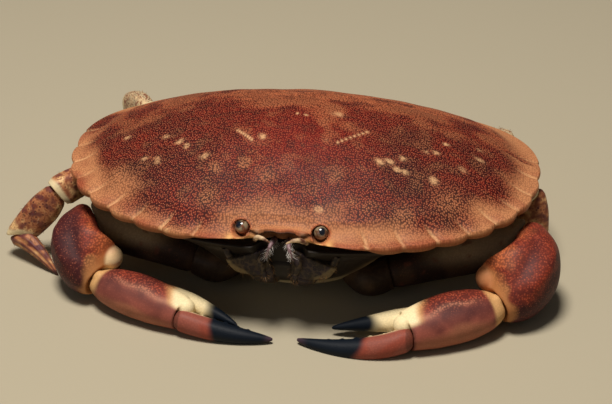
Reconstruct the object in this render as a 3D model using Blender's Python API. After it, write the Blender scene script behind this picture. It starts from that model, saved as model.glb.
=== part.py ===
"""Brown crab at rest: an adult with its claws folded under the front of its shell, standing on the floor.

The crab faces -Y, +X is its own left side and +Z is up. The origin is on the floor, on the flat of the
belly that rests there, under the middle of the shell. Sizes are in millimetres, and places are
(across, along, up). SIDES gives the sign of X for the crab's right and left.
"""

import math

import bmesh
import bpy
import numpy as np

MM = 0.001
GAP = 0.3  # left between pieces that touch
FLOOR = 0.0
SIDES = {"right": -1.0, "left": 1.0}

# Shell: a broad oval, 160 wide, with nine lobes on each side of the front half
SHELL_HALF_WIDTH = 80.0
SHELL_FRONT = 57.0
SHELL_REAR = 47.5
SHELL_FRONT_POWER = 2.25
SHELL_REAR_POWER = 2.45
RIM_HEIGHT = 36.0
SHELL_BOTTOM = 33.0
DOME_HEIGHT = 21.5
DOME_POWER = 1.85
DOME_CENTRE_Y = -2.0
BRIM_START = 0.86
BRIM_DROP = 1.1
LOBE_COUNT = 9
LOBE_WIDTH = 11.5
LOBE_DEPTH = 1.5
LOBE_POWER = 0.42
LOBE_STEPS = 4
LOBE_FADE = 0.90
FRONT_HALF_WIDTH = 17.0  # from the midline to the outer corner of the orbit
FRONT_RISE = 2.9
FRONT_SETBACK = 1.8
FRONT_NOTCH = (10.2, 10)  # half width between the orbits, and how sharply it ends
BROW_RISE = 1.0
BROW_SETBACK = 2.6
BROW_NOTCH = (17.0, 5)  # half width over both orbits, and how sharply it ends
FRONT_FADE = 7  # how soon the set-back and rise of the front die away behind it
FRONT_TEETH = ((0.0, -52.4, 38.7), (6.2, -52.7, 39.3))  # blunt teeth between the orbits
FRONT_TOOTH_SIZE = (2.3, 2.2, 1.6)
REAR_DROP = 1.6

# Swellings of the shell over the organs: (across, along, reach across, reach along, height)
SHELL_REGIONS = (
    (0.0, -20.0, 17.0, 14.0, 0.8),
    (24.0, -24.0, 12.0, 11.0, 0.6),
    (45.0, -4.0, 20.0, 19.0, 1.2),
    (0.0, 12.0, 11.0, 11.0, 0.5),
    (0.0, 30.0, 14.0, 8.0, 0.5),
    (14.0, 2.0, 5.0, 12.0, -0.6),
)

# Eyes: a ball on a short stalk, in an orbit cut into the front of the shell
EYE_CENTRE = (12.65, -49.9, 37.85)
EYE_RADIUS = 2.35
STALK_RADIUS = 1.3
STALK_LENGTH = 4.4
EYE_LOOKS = {"right": (-0.72, -0.48, 0.42), "left": (0.30, -0.82, 0.46)}
ORBIT_SIZE = (3.2, 4.4, 3.1)
ORBIT_AHEAD = 1.0

# Underside: rings from the shell's rim down to the breastplate, (across, front, rear, height)
UNDER_RINGS = (
    (0.965, 0.955, 0.955, SHELL_BOTTOM - GAP),
    (0.915, 0.940, 0.930, 31.4),
    (0.790, 0.915, 0.890, 29.0),
    (0.600, 0.885, 0.855, 25.0),
    (0.470, 0.850, 0.825, 19.5),
    (0.430, 0.795, 0.800, 16.0),
    (0.400, 0.690, 0.770, 12.0),
    (0.330, 0.560, 0.690, 6.0),
    (0.220, 0.440, 0.500, 3.0),
)
UNDER_CENTRE = 2.8

# Hollow under the front edge, where the antennules fold away: (along, half height, half width)
FRONT_HOLLOW_HEIGHT = 31.2
FRONT_HOLLOW = ((-68.0, 7.7, 7.6), (-56.0, 7.7, 7.6), (-52.0, 7.2, 7.2), (-49.5, 5.0, 5.6))

# Abdomen: a broad flap folded under the body: (along, height, half width), from its root at the rear
ABDOMEN_LINE = (
    (42.2, 26.0, 8.0),
    (43.2, 20.0, 10.5),
    (41.0, 11.5, 14.0),
    (35.0, 4.6, 16.5),
    (26.0, 1.35, 18.0),
    (14.0, 1.3, 18.0),
    (2.0, 1.3, 15.5),
    (-8.0, 1.4, 11.5),
    (-15.0, 2.8, 5.0),
)
ABDOMEN_THICK = 1.5

# Outer jaws: a pair of plates over the mouth, (across, along, height, half width)
JAW_LINE = (
    (11.2, -51.2, 28.6, 7.6),
    (11.2, -50.9, 25.4, 8.6),
    (9.8, -49.6, 21.4, 7.2),
    (8.4, -46.6, 17.2, 5.8),
    (7.2, -41.8, 13.6, 4.6),
    (6.2, -36.6, 10.6, 3.4),
)
JAW_THICK = 1.5

# Feelers: (across, along, height, radius), and the way each one's section faces
ANTENNA_LINE = (
    (8.3, -51.2, 34.4, 1.0),
    (7.5, -54.0, 36.6, 1.0),
    (6.3, -55.9, 38.1, 0.9),
    (5.0, -56.8, 38.4, 0.75),
    (3.8, -57.0, 37.9, 0.5),
    (2.6, -56.9, 37.1, 0.3),
)
ANTENNULE_LINE = (
    (2.3, -48.2, 33.4, 1.1),
    (2.5, -51.0, 34.0, 1.15),
    (2.8, -53.2, 34.2, 0.85),
    (3.3, -54.6, 33.2, 0.7),
    (3.9, -55.0, 31.4, 0.5),
    (4.5, -54.8, 29.6, 0.3),
)
FEELERS = {"antenna": (ANTENNA_LINE, (0, 0.2, 1)), "antennule": (ANTENNULE_LINE, (1, 0.2, 0))}

# Walking legs: half height and half width of the four long joints of a leg of size 1, then how each
# joint's section varies along it, as (share of the length, high, wide)
LEG_JOINTS = ("merus", "carpus", "propodus", "dactylus")
LEG_SIZE = {"leg1": 1.06, "leg2": 1.04, "leg3": 1.0, "leg4": 0.9}
LEG_SECTION = {
    "merus": (5.9, 3.5),
    "carpus": (5.4, 3.8),
    "propodus": (5.3, 3.5),
    "dactylus": (3.5, 2.9),
}
LEG_PROFILE = {
    "merus": ((0, .56, .62), (.05, .64, .72), (.3, .86, .92), (.65, 1, 1), (.94, .95, 1.04), (1, .84, .92)),
    "carpus": ((0, .60, .66), (.07, .74, .80), (.5, .96, 1), (.88, 1, 1.04), (1, .86, .92)),
    "propodus": ((0, .66, .70), (.06, .80, .82), (.4, 1, 1), (.88, .88, .96), (1, .74, .82)),
    "dactylus": ((0, .84, .84), (.1, 1, 1), (.35, .82, .82), (.65, .56, .56), (.88, .28, .28),
                 (1, .12, .12)),
}
CARPUS_BOW = 1.5
DACTYLUS_BOW = 0.07
DACTYLUS_FLUTE = 0.06
LEG_FLAT_POWER = 2.5

# Joints of each walking leg, from the hip to the last joint, then the tip's place on the floor, given
# for the left side
LEG_POINTS = {
    ("leg1", "right"): ((38, -15, 11.5), (70, -2, 24.8), (83.5, -16.2, 24.6), (97.4, -19.2, 8),
                        (81.8, -29.6)),
    ("leg1", "left"): ((38, -15, 11.5), (65, 1, 19.5), (78, 3, 26), (79.5, 0, 7), (63, -13)),
    ("leg2", "right"): ((40, -2, 12), (73, 12, 22), (82, 28, 17), (86, 46, 7), (82, 68)),
    ("leg2", "left"): ((40, -2, 12), (70, 17, 22), (73, 35, 17), (71, 53, 7.5), (66, 74)),
    ("leg3", "right"): ((38, 11, 12), (65, 44, 26.5), (75, 58, 21), (78, 72, 8), (74, 94)),
    ("leg3", "left"): ((38, 11, 12), (68, 42, 22.5), (64, 58, 15.5), (58, 76, 7.5), (52, 97)),
    ("leg4", "right"): ((32, 29, 12.5), (45, 60, 17.5), (51, 73, 12.5), (53, 89, 5.5), (48, 107)),
    ("leg4", "left"): ((32, 29, 12.5), (45, 60, 17.5), (46, 73, 11.5), (44, 89, 5), (38, 107)),
}
HIP_LENGTH = 7.0  # from the hip to where the limb turns into the body
HIP_ROOT = (0.42, 0.45, 1.2)  # its root in the body, as shares of the hip's place
HIP_SWELL = 1.12

# Claws: hip, elbow, wrist, end of the palm, tip of the moving finger and tip of the fixed finger, given
# for the left side. The sections of their pieces are (share of the length, high, wide)
CLAW_POINTS = {
    "right": ((33, -28, 10.5), (69.6, -22.8, 18.8), (62.9, -43.8, 8.7), (32.0, -55.2, 6.2),
              (1.7, -59.1, 1.6), (13.9, -55.1, 3.0)),
    "left": ((33, -28, 10.5), (76, -15.5, 20), (69.1, -40.1, 9.2), (41, -55.7, 6.8),
             (6.1, -57.9, 1.6), (16.5, -51.8, 3.0)),
}
CLAW_SIZE = {"right": 0.98, "left": 1.06}
CLAW_ROLL = 25.0  # degrees that the palm's biting edge is turned up from level
WRIST_BOW = 3.2  # how far the wrist piece bulges outwards
CLAW_ARM = ((0, 4.6, 4.4), (.05, 5.2, 5.0), (.35, 6.0, 5.6), (.75, 7.0, 6.4), (.95, 7.0, 6.6), (1, 6.2, 5.8))
CLAW_WRIST = ((0, 6.8, 7.0), (.08, 8.0, 8.2), (.26, 11.0, 10.8), (.5, 12.4, 12.0), (.75, 10.8, 10.6),
              (.91, 7.8, 8.2), (1, 5.2, 5.6))
WRIST_TOOTH = (3.0, 6.6, 5.6, 4.2)  # from the wrist joint: inwards, back and up, then its radius
PALM = ((0, 4.4, 4.0), (.05, 5.4, 4.8), (.2, 7.2, 6.0), (.45, 8.2, 6.6), (.7, 7.8, 6.3), (.9, 6.8, 5.6),
        (1, 6.2, 5.1))
PALM_SIZE = {"right": 0.94, "left": 1.0}
FINGER = ((0, 3.2, 3.6), (.05, 3.7, 4.1), (.3, 3.6, 3.7), (.6, 3.0, 2.8), (.85, 1.8, 1.7), (.96, .95, .9),
          (1, .45, .45))
FINGER_ROOT = 2.5  # from the middle of the palm's end towards the moving finger
FINGER_BOW = {"right": 1.3, "left": 4.2}
POLLEX = ((0, 4.2, 4.2), (.35, 3.7, 3.7), (.6, 2.7, 2.6), (.85, 1.5, 1.4), (.96, .85, .8), (1, .45, .45))
POLLEX_ROOT = 0.62  # share of the palm's length
POLLEX_DROP = {"right": 2.9, "left": 1.4}
POLLEX_BOW = {"right": 1.5, "left": 0.4}
TOOTH_PLACES = (.20, .34, .47, .60, .72)
TOOTH_RADII = (1.0, 1.3, 1.35, 1.15, .9)

SHELL_STEPS = 128
SHELL_RINGS = (.18, .36, .54, .70, .82, .90, .955, 1.0)
UNDER_STEPS = 60
LEG_SIDES = 10
CLAW_SIDES = 16
FINGER_SIDES = 12
FEELER_SIDES = 8

COLOURS = {
    "red_shell": ((0.36, 0.10, 0.05), 0.45),
    "cream_shell": ((0.74, 0.62, 0.42), 0.5),
    "leg_shell": ((0.42, 0.22, 0.13), 0.5),
    "claw_shell": ((0.45, 0.14, 0.09), 0.4),
    "eye": ((0.08, 0.09, 0.08), 0.15),
    "feeler": ((0.55, 0.38, 0.30), 0.5),
}


def unit(vector):
    vector = np.asarray(vector, float)
    return vector / np.linalg.norm(vector)


def mirrored(point, side):
    """A place given for the left side, on this side."""
    return np.array([SIDES[side] * point[0], *point[1:]], float)


def material(name):
    found = bpy.data.materials.get(name)
    if found:
        return found
    colour, roughness = COLOURS[name]
    made = bpy.data.materials.new(name)
    made.use_nodes = True
    shader = made.node_tree.nodes["Principled BSDF"]
    shader.inputs["Base Color"].default_value = (*colour, 1.0)
    shader.inputs["Roughness"].default_value = roughness
    return made


def new_object(name, points, faces, slot):
    """A mesh object from points in millimetres, with its faces turned outwards."""
    mesh = bpy.data.meshes.new(name)
    mesh.from_pydata([tuple(p * MM for p in point) for point in points], [], faces)
    shape = bmesh.new()
    shape.from_mesh(mesh)
    bmesh.ops.recalc_face_normals(shape, faces=shape.faces)
    shape.to_mesh(mesh)
    shape.free()
    mesh.materials.append(material(slot))
    mesh.shade_smooth()
    made = bpy.data.objects.new(name, mesh)
    bpy.context.scene.collection.objects.link(made)
    return made


def skin_rings(rings):
    """Faces of a tube of rings with the same number of points, and a flat cap on each end."""
    count = len(rings[0])
    faces = []
    for i in range(len(rings) - 1):
        for j in range(count):
            k = (j + 1) % count
            a, b = i * count, (i + 1) * count
            faces.append((a + j, a + k, b + k, b + j))
    faces.append(tuple(range(count)))
    faces.append(tuple((len(rings) - 1) * count + j for j in reversed(range(count))))
    return faces


def lengths_along(path):
    steps = np.linalg.norm(np.diff(path, axis=0), axis=1)
    return np.concatenate([[0.0], np.cumsum(steps)])


def sweep_rings(path, sizes, broadside, sides, power=2.0, face_in=None, face_out=None, flute=0.0):
    """Rings round a path. sizes are half heights, and half widths along broadside. A ring at an end lies
    in the plane whose normal is face_in or face_out, and those between lean over gradually."""
    path, broadside = np.asarray(path, float), np.asarray(broadside, float)
    along = lengths_along(path) / lengths_along(path)[-1]
    frames = []
    for tangent in np.gradient(path, axis=0):
        forward = unit(tangent)
        across = unit(broadside - forward * (forward @ broadside))
        frames.append(np.array([across, np.cross(across, forward), forward]))
    leans = []
    for normal, frame, weights in ((face_in, frames[0], 1 - along), (face_out, frames[-1], along)):
        if normal is not None:
            slopes = -frame @ normal / (frame[2] @ normal)
            leans.append((slopes[:2], weights))
    turns = 2 * math.pi * np.arange(sides) / sides
    swell = 1 + flute * np.cos(sides / 2 * turns)
    shape = np.stack([np.cos(turns), np.sin(turns)], 1)
    shape = np.copysign(np.abs(shape) ** (2 / power), shape) * swell[:, None]
    rings = []
    for i, (centre, (high, wide)) in enumerate(zip(path, sizes)):
        flat = shape * (wide, high)
        shift = sum((flat @ slopes * weights[i] for slopes, weights in leans), np.zeros(sides))
        rings.append(centre + np.column_stack([flat, shift]) @ frames[i])
    return rings


def sweep(name, path, sizes, broadside, sides, slot, grow=0.0, **shape):
    """A closed piece round a path. grow makes it that much fatter and longer, for use as a cutter."""
    path, sizes = np.asarray(path, float), np.asarray(sizes, float) + grow
    if grow:
        path[0] -= unit(path[1] - path[0]) * grow
        path[-1] += unit(path[-1] - path[-2]) * grow
    rings = sweep_rings(path, sizes, broadside, sides, **shape)
    points = np.array([point for ring in rings for point in ring])
    if not grow:
        points[:, 2] = np.maximum(points[:, 2], FLOOR)
    return new_object(name, points, skin_rings(rings), slot)


def ball(name, centre, size, slot="cream_shell", steps=16, rings=10):
    """A closed ellipsoid."""
    shape = bmesh.new()
    bmesh.ops.create_uvsphere(shape, u_segments=steps, v_segments=rings, radius=1.0)
    faces = [[v.index for v in f.verts] for f in shape.faces]
    points = [np.array(v.co) * size + centre for v in shape.verts]
    shape.free()
    return new_object(name, points, faces, slot)


def apply_modifiers(obj):
    graph = bpy.context.evaluated_depsgraph_get()
    mesh = bpy.data.meshes.new_from_object(obj.evaluated_get(graph))
    obj.modifiers.clear()
    obj.data = mesh


def keep_largest(obj):
    """Drops every closed surface but the one with the most faces."""
    shape = bmesh.new()
    shape.from_mesh(obj.data)
    left, islands = set(shape.faces), []
    while left:
        grown, island = [left.pop()], []
        while grown:
            face = grown.pop()
            island.append(face)
            for edge in face.edges:
                for other in edge.link_faces:
                    if other in left:
                        left.remove(other)
                        grown.append(other)
        islands.append(island)
    islands.sort(key=len)
    for island in islands[:-1]:
        bmesh.ops.delete(shape, geom=island, context="FACES")
    shape.to_mesh(obj.data)
    shape.free()


def fuse(host, pieces):
    """One union of the host with closed pieces sunk into it."""
    group = bpy.data.collections.new(host.name + "_pieces")
    for piece in pieces:
        group.objects.link(piece)
    join = host.modifiers.new("join", "BOOLEAN")
    join.operation = "UNION"
    join.operand_type = "COLLECTION"
    join.collection = group
    apply_modifiers(host)
    for piece in pieces:
        bpy.data.objects.remove(piece)
    bpy.data.collections.remove(group)
    keep_largest(host)


def carve(host, cutters):
    """Cuts closed pieces out of the host, one at a time."""
    for cutter in cutters:
        cut = host.modifiers.new("cut", "BOOLEAN")
        cut.operation = "DIFFERENCE"
        cut.solver = "MANIFOLD"
        cut.object = cutter
        apply_modifiers(host)
        bpy.data.objects.remove(cutter)
    keep_largest(host)


def rim_outline(turn):
    """The plain oval of the shell: turn 0 is the left side, and a quarter turn on is the front."""
    c, s = math.cos(turn), math.sin(turn)
    power = SHELL_FRONT_POWER if s > 0 else SHELL_REAR_POWER
    reach = SHELL_FRONT if s > 0 else SHELL_REAR
    x = SHELL_HALF_WIDTH * math.copysign(abs(c) ** (2 / power), c)
    y = -reach * math.copysign(abs(s) ** (2 / power), s)
    return x, y


def notch_share(x, notch):
    """1 in the middle of the front, falling to 0 beyond the half width of a notch."""
    half_width, sharpness = notch
    return 1 / (1 + (abs(x) / half_width) ** sharpness)


def rim_stations():
    """Turns round the shell, closer together on the lobes, with each one's distance along the rim from
    the outer corner of the orbit."""
    fine = np.linspace(-math.pi / 2, math.pi / 2, 4001)
    points = np.array([rim_outline(t) for t in fine])
    along = lengths_along(points)
    front = points[:, 1] < 0
    corner = np.interp(-FRONT_HALF_WIDTH, -points[front, 0], along[front])
    distance = corner - along
    lobed = LOBE_COUNT * LOBE_WIDTH
    marks = np.arange(0, lobed + GAP, LOBE_WIDTH / LOBE_STEPS)
    rear = np.linspace(lobed, distance[0], 15)[1:]
    ahead = np.linspace(distance[-1], 0, 12)[:-1]
    every = np.concatenate([ahead, marks, rear])
    turns = np.interp(every, distance[::-1], fine[::-1])
    left = list(zip(turns, every))
    right = [(math.pi - t, d) for t, d in left[1:-1]]
    return left, right


def scallop(distance):
    """How far the rim is drawn in at this distance along it: most at the cleft between two lobes."""
    if distance <= 0 or distance >= LOBE_COUNT * LOBE_WIDTH:
        return 0.0
    place = distance / LOBE_WIDTH
    bulge = abs(math.sin(math.pi * place)) ** LOBE_POWER
    fade = min(1.0, 1.5 * (LOBE_COUNT - place) / LOBE_COUNT + 0.35)
    return LOBE_DEPTH * fade * (1 - bulge)


def rim_place(turn, share=1.0):
    """A point of the plain rim, without its lobes. For a ring further in, the front is less drawn back."""
    x, y = rim_outline(turn)
    z = RIM_HEIGHT
    if y < 0:
        fade = share**FRONT_FADE
        front, brow = notch_share(x, FRONT_NOTCH) * fade, notch_share(x, BROW_NOTCH) * fade
        y += FRONT_SETBACK * front + BROW_SETBACK * brow
        z += FRONT_RISE * front + BROW_RISE * brow
    else:
        z -= REAR_DROP * (y / SHELL_REAR) ** 2
    return np.array([x, y, z])


def lobed(point, distance, share):
    """The point drawn in for the lobes, which fade out a little way in from the rim."""
    inward = -unit((point[0], point[1] * 1.6, 0.0))
    fade = max(0.0, (share - LOBE_FADE) / (1 - LOBE_FADE))
    return point + inward * scallop(distance) * fade


def dome_rise(share):
    """The shell's rise above its rim, from 1 at the centre to 0 at the rim, with a flatter brim."""
    rise = 1 - share**DOME_POWER
    brim = max(0.0, (share - BRIM_START) / (1 - BRIM_START))
    return rise - BRIM_DROP / DOME_HEIGHT * math.sin(math.pi * min(1.0, brim)) * 0.8


def region_rise(x, y, share):
    """The low swellings and furrows on the dome, on both sides of the midline."""
    total = 0.0
    for across, along, wide, long, high in SHELL_REGIONS:
        for centre in {across, -across}:
            total += high * math.exp(-((x - centre) / wide) ** 2 - ((y - along) / long) ** 2)
    return total * max(0.0, 1 - share**4)


def shell_place(rim, share):
    """A point of the upper surface, a share of the way from the dome's centre to a point of the rim."""
    x = rim[0] * share
    y = DOME_CENTRE_Y + (rim[1] - DOME_CENTRE_Y) * share
    z = rim[2] + (RIM_HEIGHT - rim[2]) * (1 - share) + DOME_HEIGHT * dome_rise(share)
    return np.array([x, y, z + region_rise(x, y, share)])


def front_hollow():
    """Cutter for the hollow between the orbits, open at the front and below."""
    path = [(0, along, FRONT_HOLLOW_HEIGHT) for along, _, _ in FRONT_HOLLOW]
    sizes = [(high, wide) for _, high, wide in FRONT_HOLLOW]
    return sweep("front_hollow", path, sizes, (1, 0, 0), 20, "cream_shell", power=4.0)


def make_carapace():
    """The upper shell, a solid dome with a lobed edge and two orbits at the front."""
    left, right = rim_stations()
    stations = left + right[::-1]
    top = shell_place(np.array([0, 0, RIM_HEIGHT]), 0.0)
    points = [top]
    for share in SHELL_RINGS:
        points += [lobed(shell_place(rim_place(t, share), share), d, share) for t, d in stations]
    rim = [lobed(rim_place(t), d, 1.0) for t, d in stations]
    edge = SHELL_BOTTOM + 1.2
    for inset, height in ((1.003, edge), (0.985, SHELL_BOTTOM)):
        points += [np.array([p[0] * inset, p[1] * inset, height]) for p in rim]
    count = len(rim)
    ring_count = len(SHELL_RINGS) + 2
    faces = [(0, 1 + j, 1 + (j + 1) % count) for j in range(count)]
    for i in range(ring_count - 1):
        a, b = 1 + i * count, 1 + (i + 1) * count
        for j in range(count):
            k = (j + 1) % count
            faces.append((a + j, b + j, b + k, a + k))
    faces.append(tuple(1 + (ring_count - 1) * count + j for j in range(count)))
    shell = new_object("carapace", points, faces, "red_shell")
    cutters = [front_hollow()]
    for side in SIDES:
        centre = mirrored(EYE_CENTRE, side) + np.array([0, -ORBIT_AHEAD, 0])
        cutters.append(ball("orbit", centre, ORBIT_SIZE))
        cutters.append(make_eye(side, GAP))
        cutters += [make_feeler(kind, side, GAP) for kind in FEELERS]
    carve(shell, cutters)
    teeth = [*FRONT_TEETH, mirrored(FRONT_TEETH[1], "right")]
    fuse(shell, [ball("front_tooth", place, FRONT_TOOTH_SIZE, "red_shell", 12, 8) for place in teeth])


def make_eye(side, grow=0.0):
    """An eye: a ball on a stalk that comes out of the back of its orbit."""
    centre = mirrored(EYE_CENTRE, side)
    look = unit(EYE_LOOKS[side])
    radius = EYE_RADIUS
    line = [(-STALK_LENGTH, STALK_RADIUS), (-radius, STALK_RADIUS), (-radius * 0.72, radius * 0.70)]
    for degrees in (-20, 5, 30, 52, 74):
        angle = math.radians(degrees)
        line.append((radius * math.sin(angle), radius * math.cos(angle)))
    path = [centre + look * place for place, _ in line]
    sizes = [(size, size) for _, size in line]
    return sweep(f"eye_{side}", path, sizes, (0, 0, 1), 12, "eye", grow)


def make_abdomen(grow=0.0):
    """The broad flap that lies folded against the breastplate, flat where it rests on the floor."""
    path = [(0, along, height) for along, height, _ in ABDOMEN_LINE]
    sizes = [(ABDOMEN_THICK, wide) for _, _, wide in ABDOMEN_LINE]
    return sweep("abdomen", path, sizes, (1, 0, 0), 20, "cream_shell", grow, power=3.0)


def make_jaw(side, grow=0.0):
    """One of the two outer jaws, a plate that closes the mouth."""
    path = [mirrored(place[:3], side) for place in JAW_LINE]
    sizes = [(JAW_THICK, place[3]) for place in JAW_LINE]
    return sweep(f"jaw_{side}", path, sizes, (1, 0, 0), 14, "cream_shell", grow, power=2.6)


def make_feeler(kind, side, grow=0.0):
    """A feeler: the long joints of its stalk and the whip beyond them."""
    line, broadside = FEELERS[kind]
    path = [mirrored(place[:3], side) for place in line]
    sizes = [(place[3], place[3]) for place in line]
    return sweep(f"{kind}_{side}", path, sizes, broadside, FEELER_SIDES, "feeler", grow)


def segment(start, end, profile, scale=(1.0, 1.0), bow=(0, 0, 0)):
    """Points and sizes of a piece between two joints, from its profile of (share, high, wide)."""
    start, end, bow = (np.asarray(a, float) for a in (start, end, bow))
    path = [start + (end - start) * share + bow * 4 * share * (1 - share) for share, _, _ in profile]
    sizes = [(high * scale[0], wide * scale[1]) for _, high, wide in profile]
    return path, sizes


def joint_normals(points, bows):
    """The normal of the cut at each joint of a limb, halfway between the directions that meet there."""
    chords = [b - a for a, b in zip(points, points[1:])]
    leaving = [unit(chord + 4 * np.asarray(bow)) for chord, bow in zip(chords, bows)]
    arriving = [unit(chord - 4 * np.asarray(bow)) for chord, bow in zip(chords, bows)]
    return [leaving[0]] + [unit(a + b) for a, b in zip(arriving, leaving[1:])]


def hip_stub(name, hip, normal, size, broadside, sides):
    """The short first joint of a limb, fused to the underside, with a flat face for the limb."""
    path = [hip * HIP_ROOT, hip - normal * HIP_LENGTH, hip - normal * GAP / 2]
    sizes = [np.array(size) * HIP_SWELL**2, np.array(size) * HIP_SWELL, size]
    return sweep(name, path, sizes, broadside, sides, "cream_shell")


def make_leg(leg, side):
    """The four long joints of a walking leg. Gives back the hip stub that carries it."""
    *joints, tip = LEG_POINTS[leg, side]
    points = [mirrored(p, side) for p in joints] + [mirrored((*tip, FLOOR), side)]
    scale = LEG_SIZE[leg]
    reach = np.linalg.norm(points[-1] - points[-2])
    bows = [np.zeros(3), (0, 0, CARPUS_BOW), np.zeros(3), (0, 0, DACTYLUS_BOW * reach)]
    normals = joint_normals(points, bows) + [np.array([0.0, 0.0, -1.0])]
    chord = points[3] - points[0]
    broadside = unit((-chord[1], chord[0], 0))
    for i, joint in enumerate(LEG_JOINTS):
        last = joint == "dactylus"
        start = points[i] + normals[i] * GAP / 2
        end = points[i + 1] - (0 if last else normals[i + 1] * GAP / 2)
        size = np.array(LEG_SECTION[joint]) * scale
        path, sizes = segment(start, end, LEG_PROFILE[joint], size, bows[i])
        sweep(f"{leg}_{joint}_{side}", path, sizes, broadside, LEG_SIDES, "leg_shell",
              power=2.0 if last else LEG_FLAT_POWER, face_in=normals[i],
              face_out=normals[i + 1], flute=DACTYLUS_FLUTE if last else 0.0)
    _, high, wide = LEG_PROFILE["merus"][0]
    size = np.array(LEG_SECTION["merus"]) * scale * (high, wide)
    return hip_stub(f"hip_{leg}_{side}", points[0], normals[0], size * HIP_SWELL, broadside, LEG_SIDES)


def bite_teeth(path, profile, inwards, scale):
    """Blunt teeth along the biting edge of a finger."""
    path = np.array(path)
    along = lengths_along(path)
    made = []
    for share, radius in zip(TOOTH_PLACES, TOOTH_RADII):
        place = np.array([np.interp(share * along[-1], along, path[:, k]) for k in range(3)])
        depth = np.interp(share, [p[0] for p in profile], [p[1] for p in profile]) * scale
        size = np.full(3, radius * scale)
        made.append(ball("tooth", place + inwards * (depth - radius * scale / 3), size, "claw_shell", 8, 6))
    return made


def make_claw(side):
    """A claw arm: arm, wrist, palm with its fixed finger, and moving finger. Gives back its hip stub."""
    points = [mirrored(p, side) for p in CLAW_POINTS[side]]
    hip, elbow, wrist, palm_end, finger_tip, pollex_tip = points
    scale = CLAW_SIZE[side]
    outwards = np.array([SIDES[side], 0.0, 0.0])
    bows = [np.zeros(3), outwards * WRIST_BOW * scale, np.zeros(3)]
    normals = joint_normals(points[:4], bows)
    halves = [n * GAP / 2 for n in normals]

    path, sizes = segment(hip + halves[0], elbow - halves[1], CLAW_ARM)
    broadside = (0, 1, 0)
    sweep(f"claw_arm_{side}", path, sizes, broadside, CLAW_SIDES, "claw_shell", power=2.3,
          face_in=normals[0], face_out=normals[1])
    size = np.array(CLAW_ARM[0][1:]) * HIP_SWELL
    stub = hip_stub(f"hip_claw_{side}", hip, normals[0], size, broadside, CLAW_SIDES)

    path, sizes = segment(elbow + halves[1], wrist - halves[2], CLAW_WRIST, (scale, scale), bows[1])
    piece = sweep(f"claw_wrist_{side}", path, sizes, outwards, CLAW_SIDES, "claw_shell", power=2.3,
                  face_in=normals[1], face_out=normals[2])
    inwards, back, up, radius = WRIST_TOOTH
    centre = wrist + np.array([-SIDES[side] * inwards, back, up]) * scale
    fuse(piece, [ball("wrist_tooth", centre, np.full(3, radius * scale), "claw_shell", 12, 8)])

    forward = unit(palm_end - wrist)
    roll = math.radians(CLAW_ROLL)
    rise = np.array([0.0, -math.cos(roll), -math.sin(roll)])
    rise = unit(rise - forward * (rise @ forward))
    broadside = np.cross(forward, rise)
    stout = scale * PALM_SIZE[side]
    path, sizes = segment(wrist + halves[2], palm_end - forward * GAP / 2, PALM, (stout, stout))
    palm = sweep(f"claw_palm_{side}", path, sizes, broadside, CLAW_SIDES, "claw_shell", power=2.3,
                 face_in=normals[2], face_out=forward)
    root = wrist + (palm_end - wrist) * POLLEX_ROOT - rise * POLLEX_DROP[side]
    path, sizes = segment(root, pollex_tip, POLLEX, (scale, scale), -rise * POLLEX_BOW[side])
    pollex = sweep("pollex", path, sizes, broadside, FINGER_SIDES, "claw_shell")
    fuse(palm, [pollex, *bite_teeth(path, POLLEX, rise, scale)])

    root = palm_end + rise * FINGER_ROOT * scale + forward * GAP / 2
    path, sizes = segment(root, finger_tip, FINGER, (scale, scale), rise * FINGER_BOW[side])
    finger = sweep(f"claw_finger_{side}", path, sizes, broadside, FINGER_SIDES, "claw_shell",
                   face_in=forward)
    fuse(finger, bite_teeth(path, FINGER, -rise, scale))
    return stub


def make_underside(stubs):
    """The lower shell from the rim down to the breastplate, with the limbs' first joints fused on."""
    points = []
    for across, front, rear, height in UNDER_RINGS:
        for j in range(UNDER_STEPS):
            x, y = rim_outline(2 * math.pi * j / UNDER_STEPS)
            points.append((x * across, y * (front if y < 0 else rear), height))
    count = len(points)
    points.append((0, 0, UNDER_CENTRE))
    faces = []
    for i in range(len(UNDER_RINGS) - 1):
        a, b = i * UNDER_STEPS, (i + 1) * UNDER_STEPS
        for j in range(UNDER_STEPS):
            k = (j + 1) % UNDER_STEPS
            faces.append((a + j, a + k, b + k, b + j))
    last = (len(UNDER_RINGS) - 1) * UNDER_STEPS
    faces += [(last + j, last + (j + 1) % UNDER_STEPS, count) for j in range(UNDER_STEPS)]
    faces.append(tuple(reversed(range(UNDER_STEPS))))
    under = new_object("underside", points, faces, "cream_shell")
    fuse(under, stubs)
    cutters = [front_hollow(), make_abdomen(GAP)]
    for side in SIDES:
        cutters.append(make_jaw(side, GAP))
        cutters += [make_feeler(kind, side, GAP) for kind in FEELERS]
    carve(under, cutters)


def main():
    for obj in list(bpy.data.objects):
        bpy.data.objects.remove(obj)
    make_carapace()
    stubs = []
    for side in SIDES:
        stubs.append(make_claw(side))
        stubs += [make_leg(leg, side) for leg in LEG_SIZE]
    make_underside(stubs)
    make_abdomen()
    for side in SIDES:
        make_eye(side)
        make_jaw(side)
        for kind in FEELERS:
            make_feeler(kind, side)


main()
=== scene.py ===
"""A life-size brown crab, standing with its claws folded under the front of its shell.

Lengths of the crab are in millimetres and become metres when a mesh is made, and those of the studio are
in metres. The crab faces -Y, its own left side is +X and the floor is at zero height.
"""

import math

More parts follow.
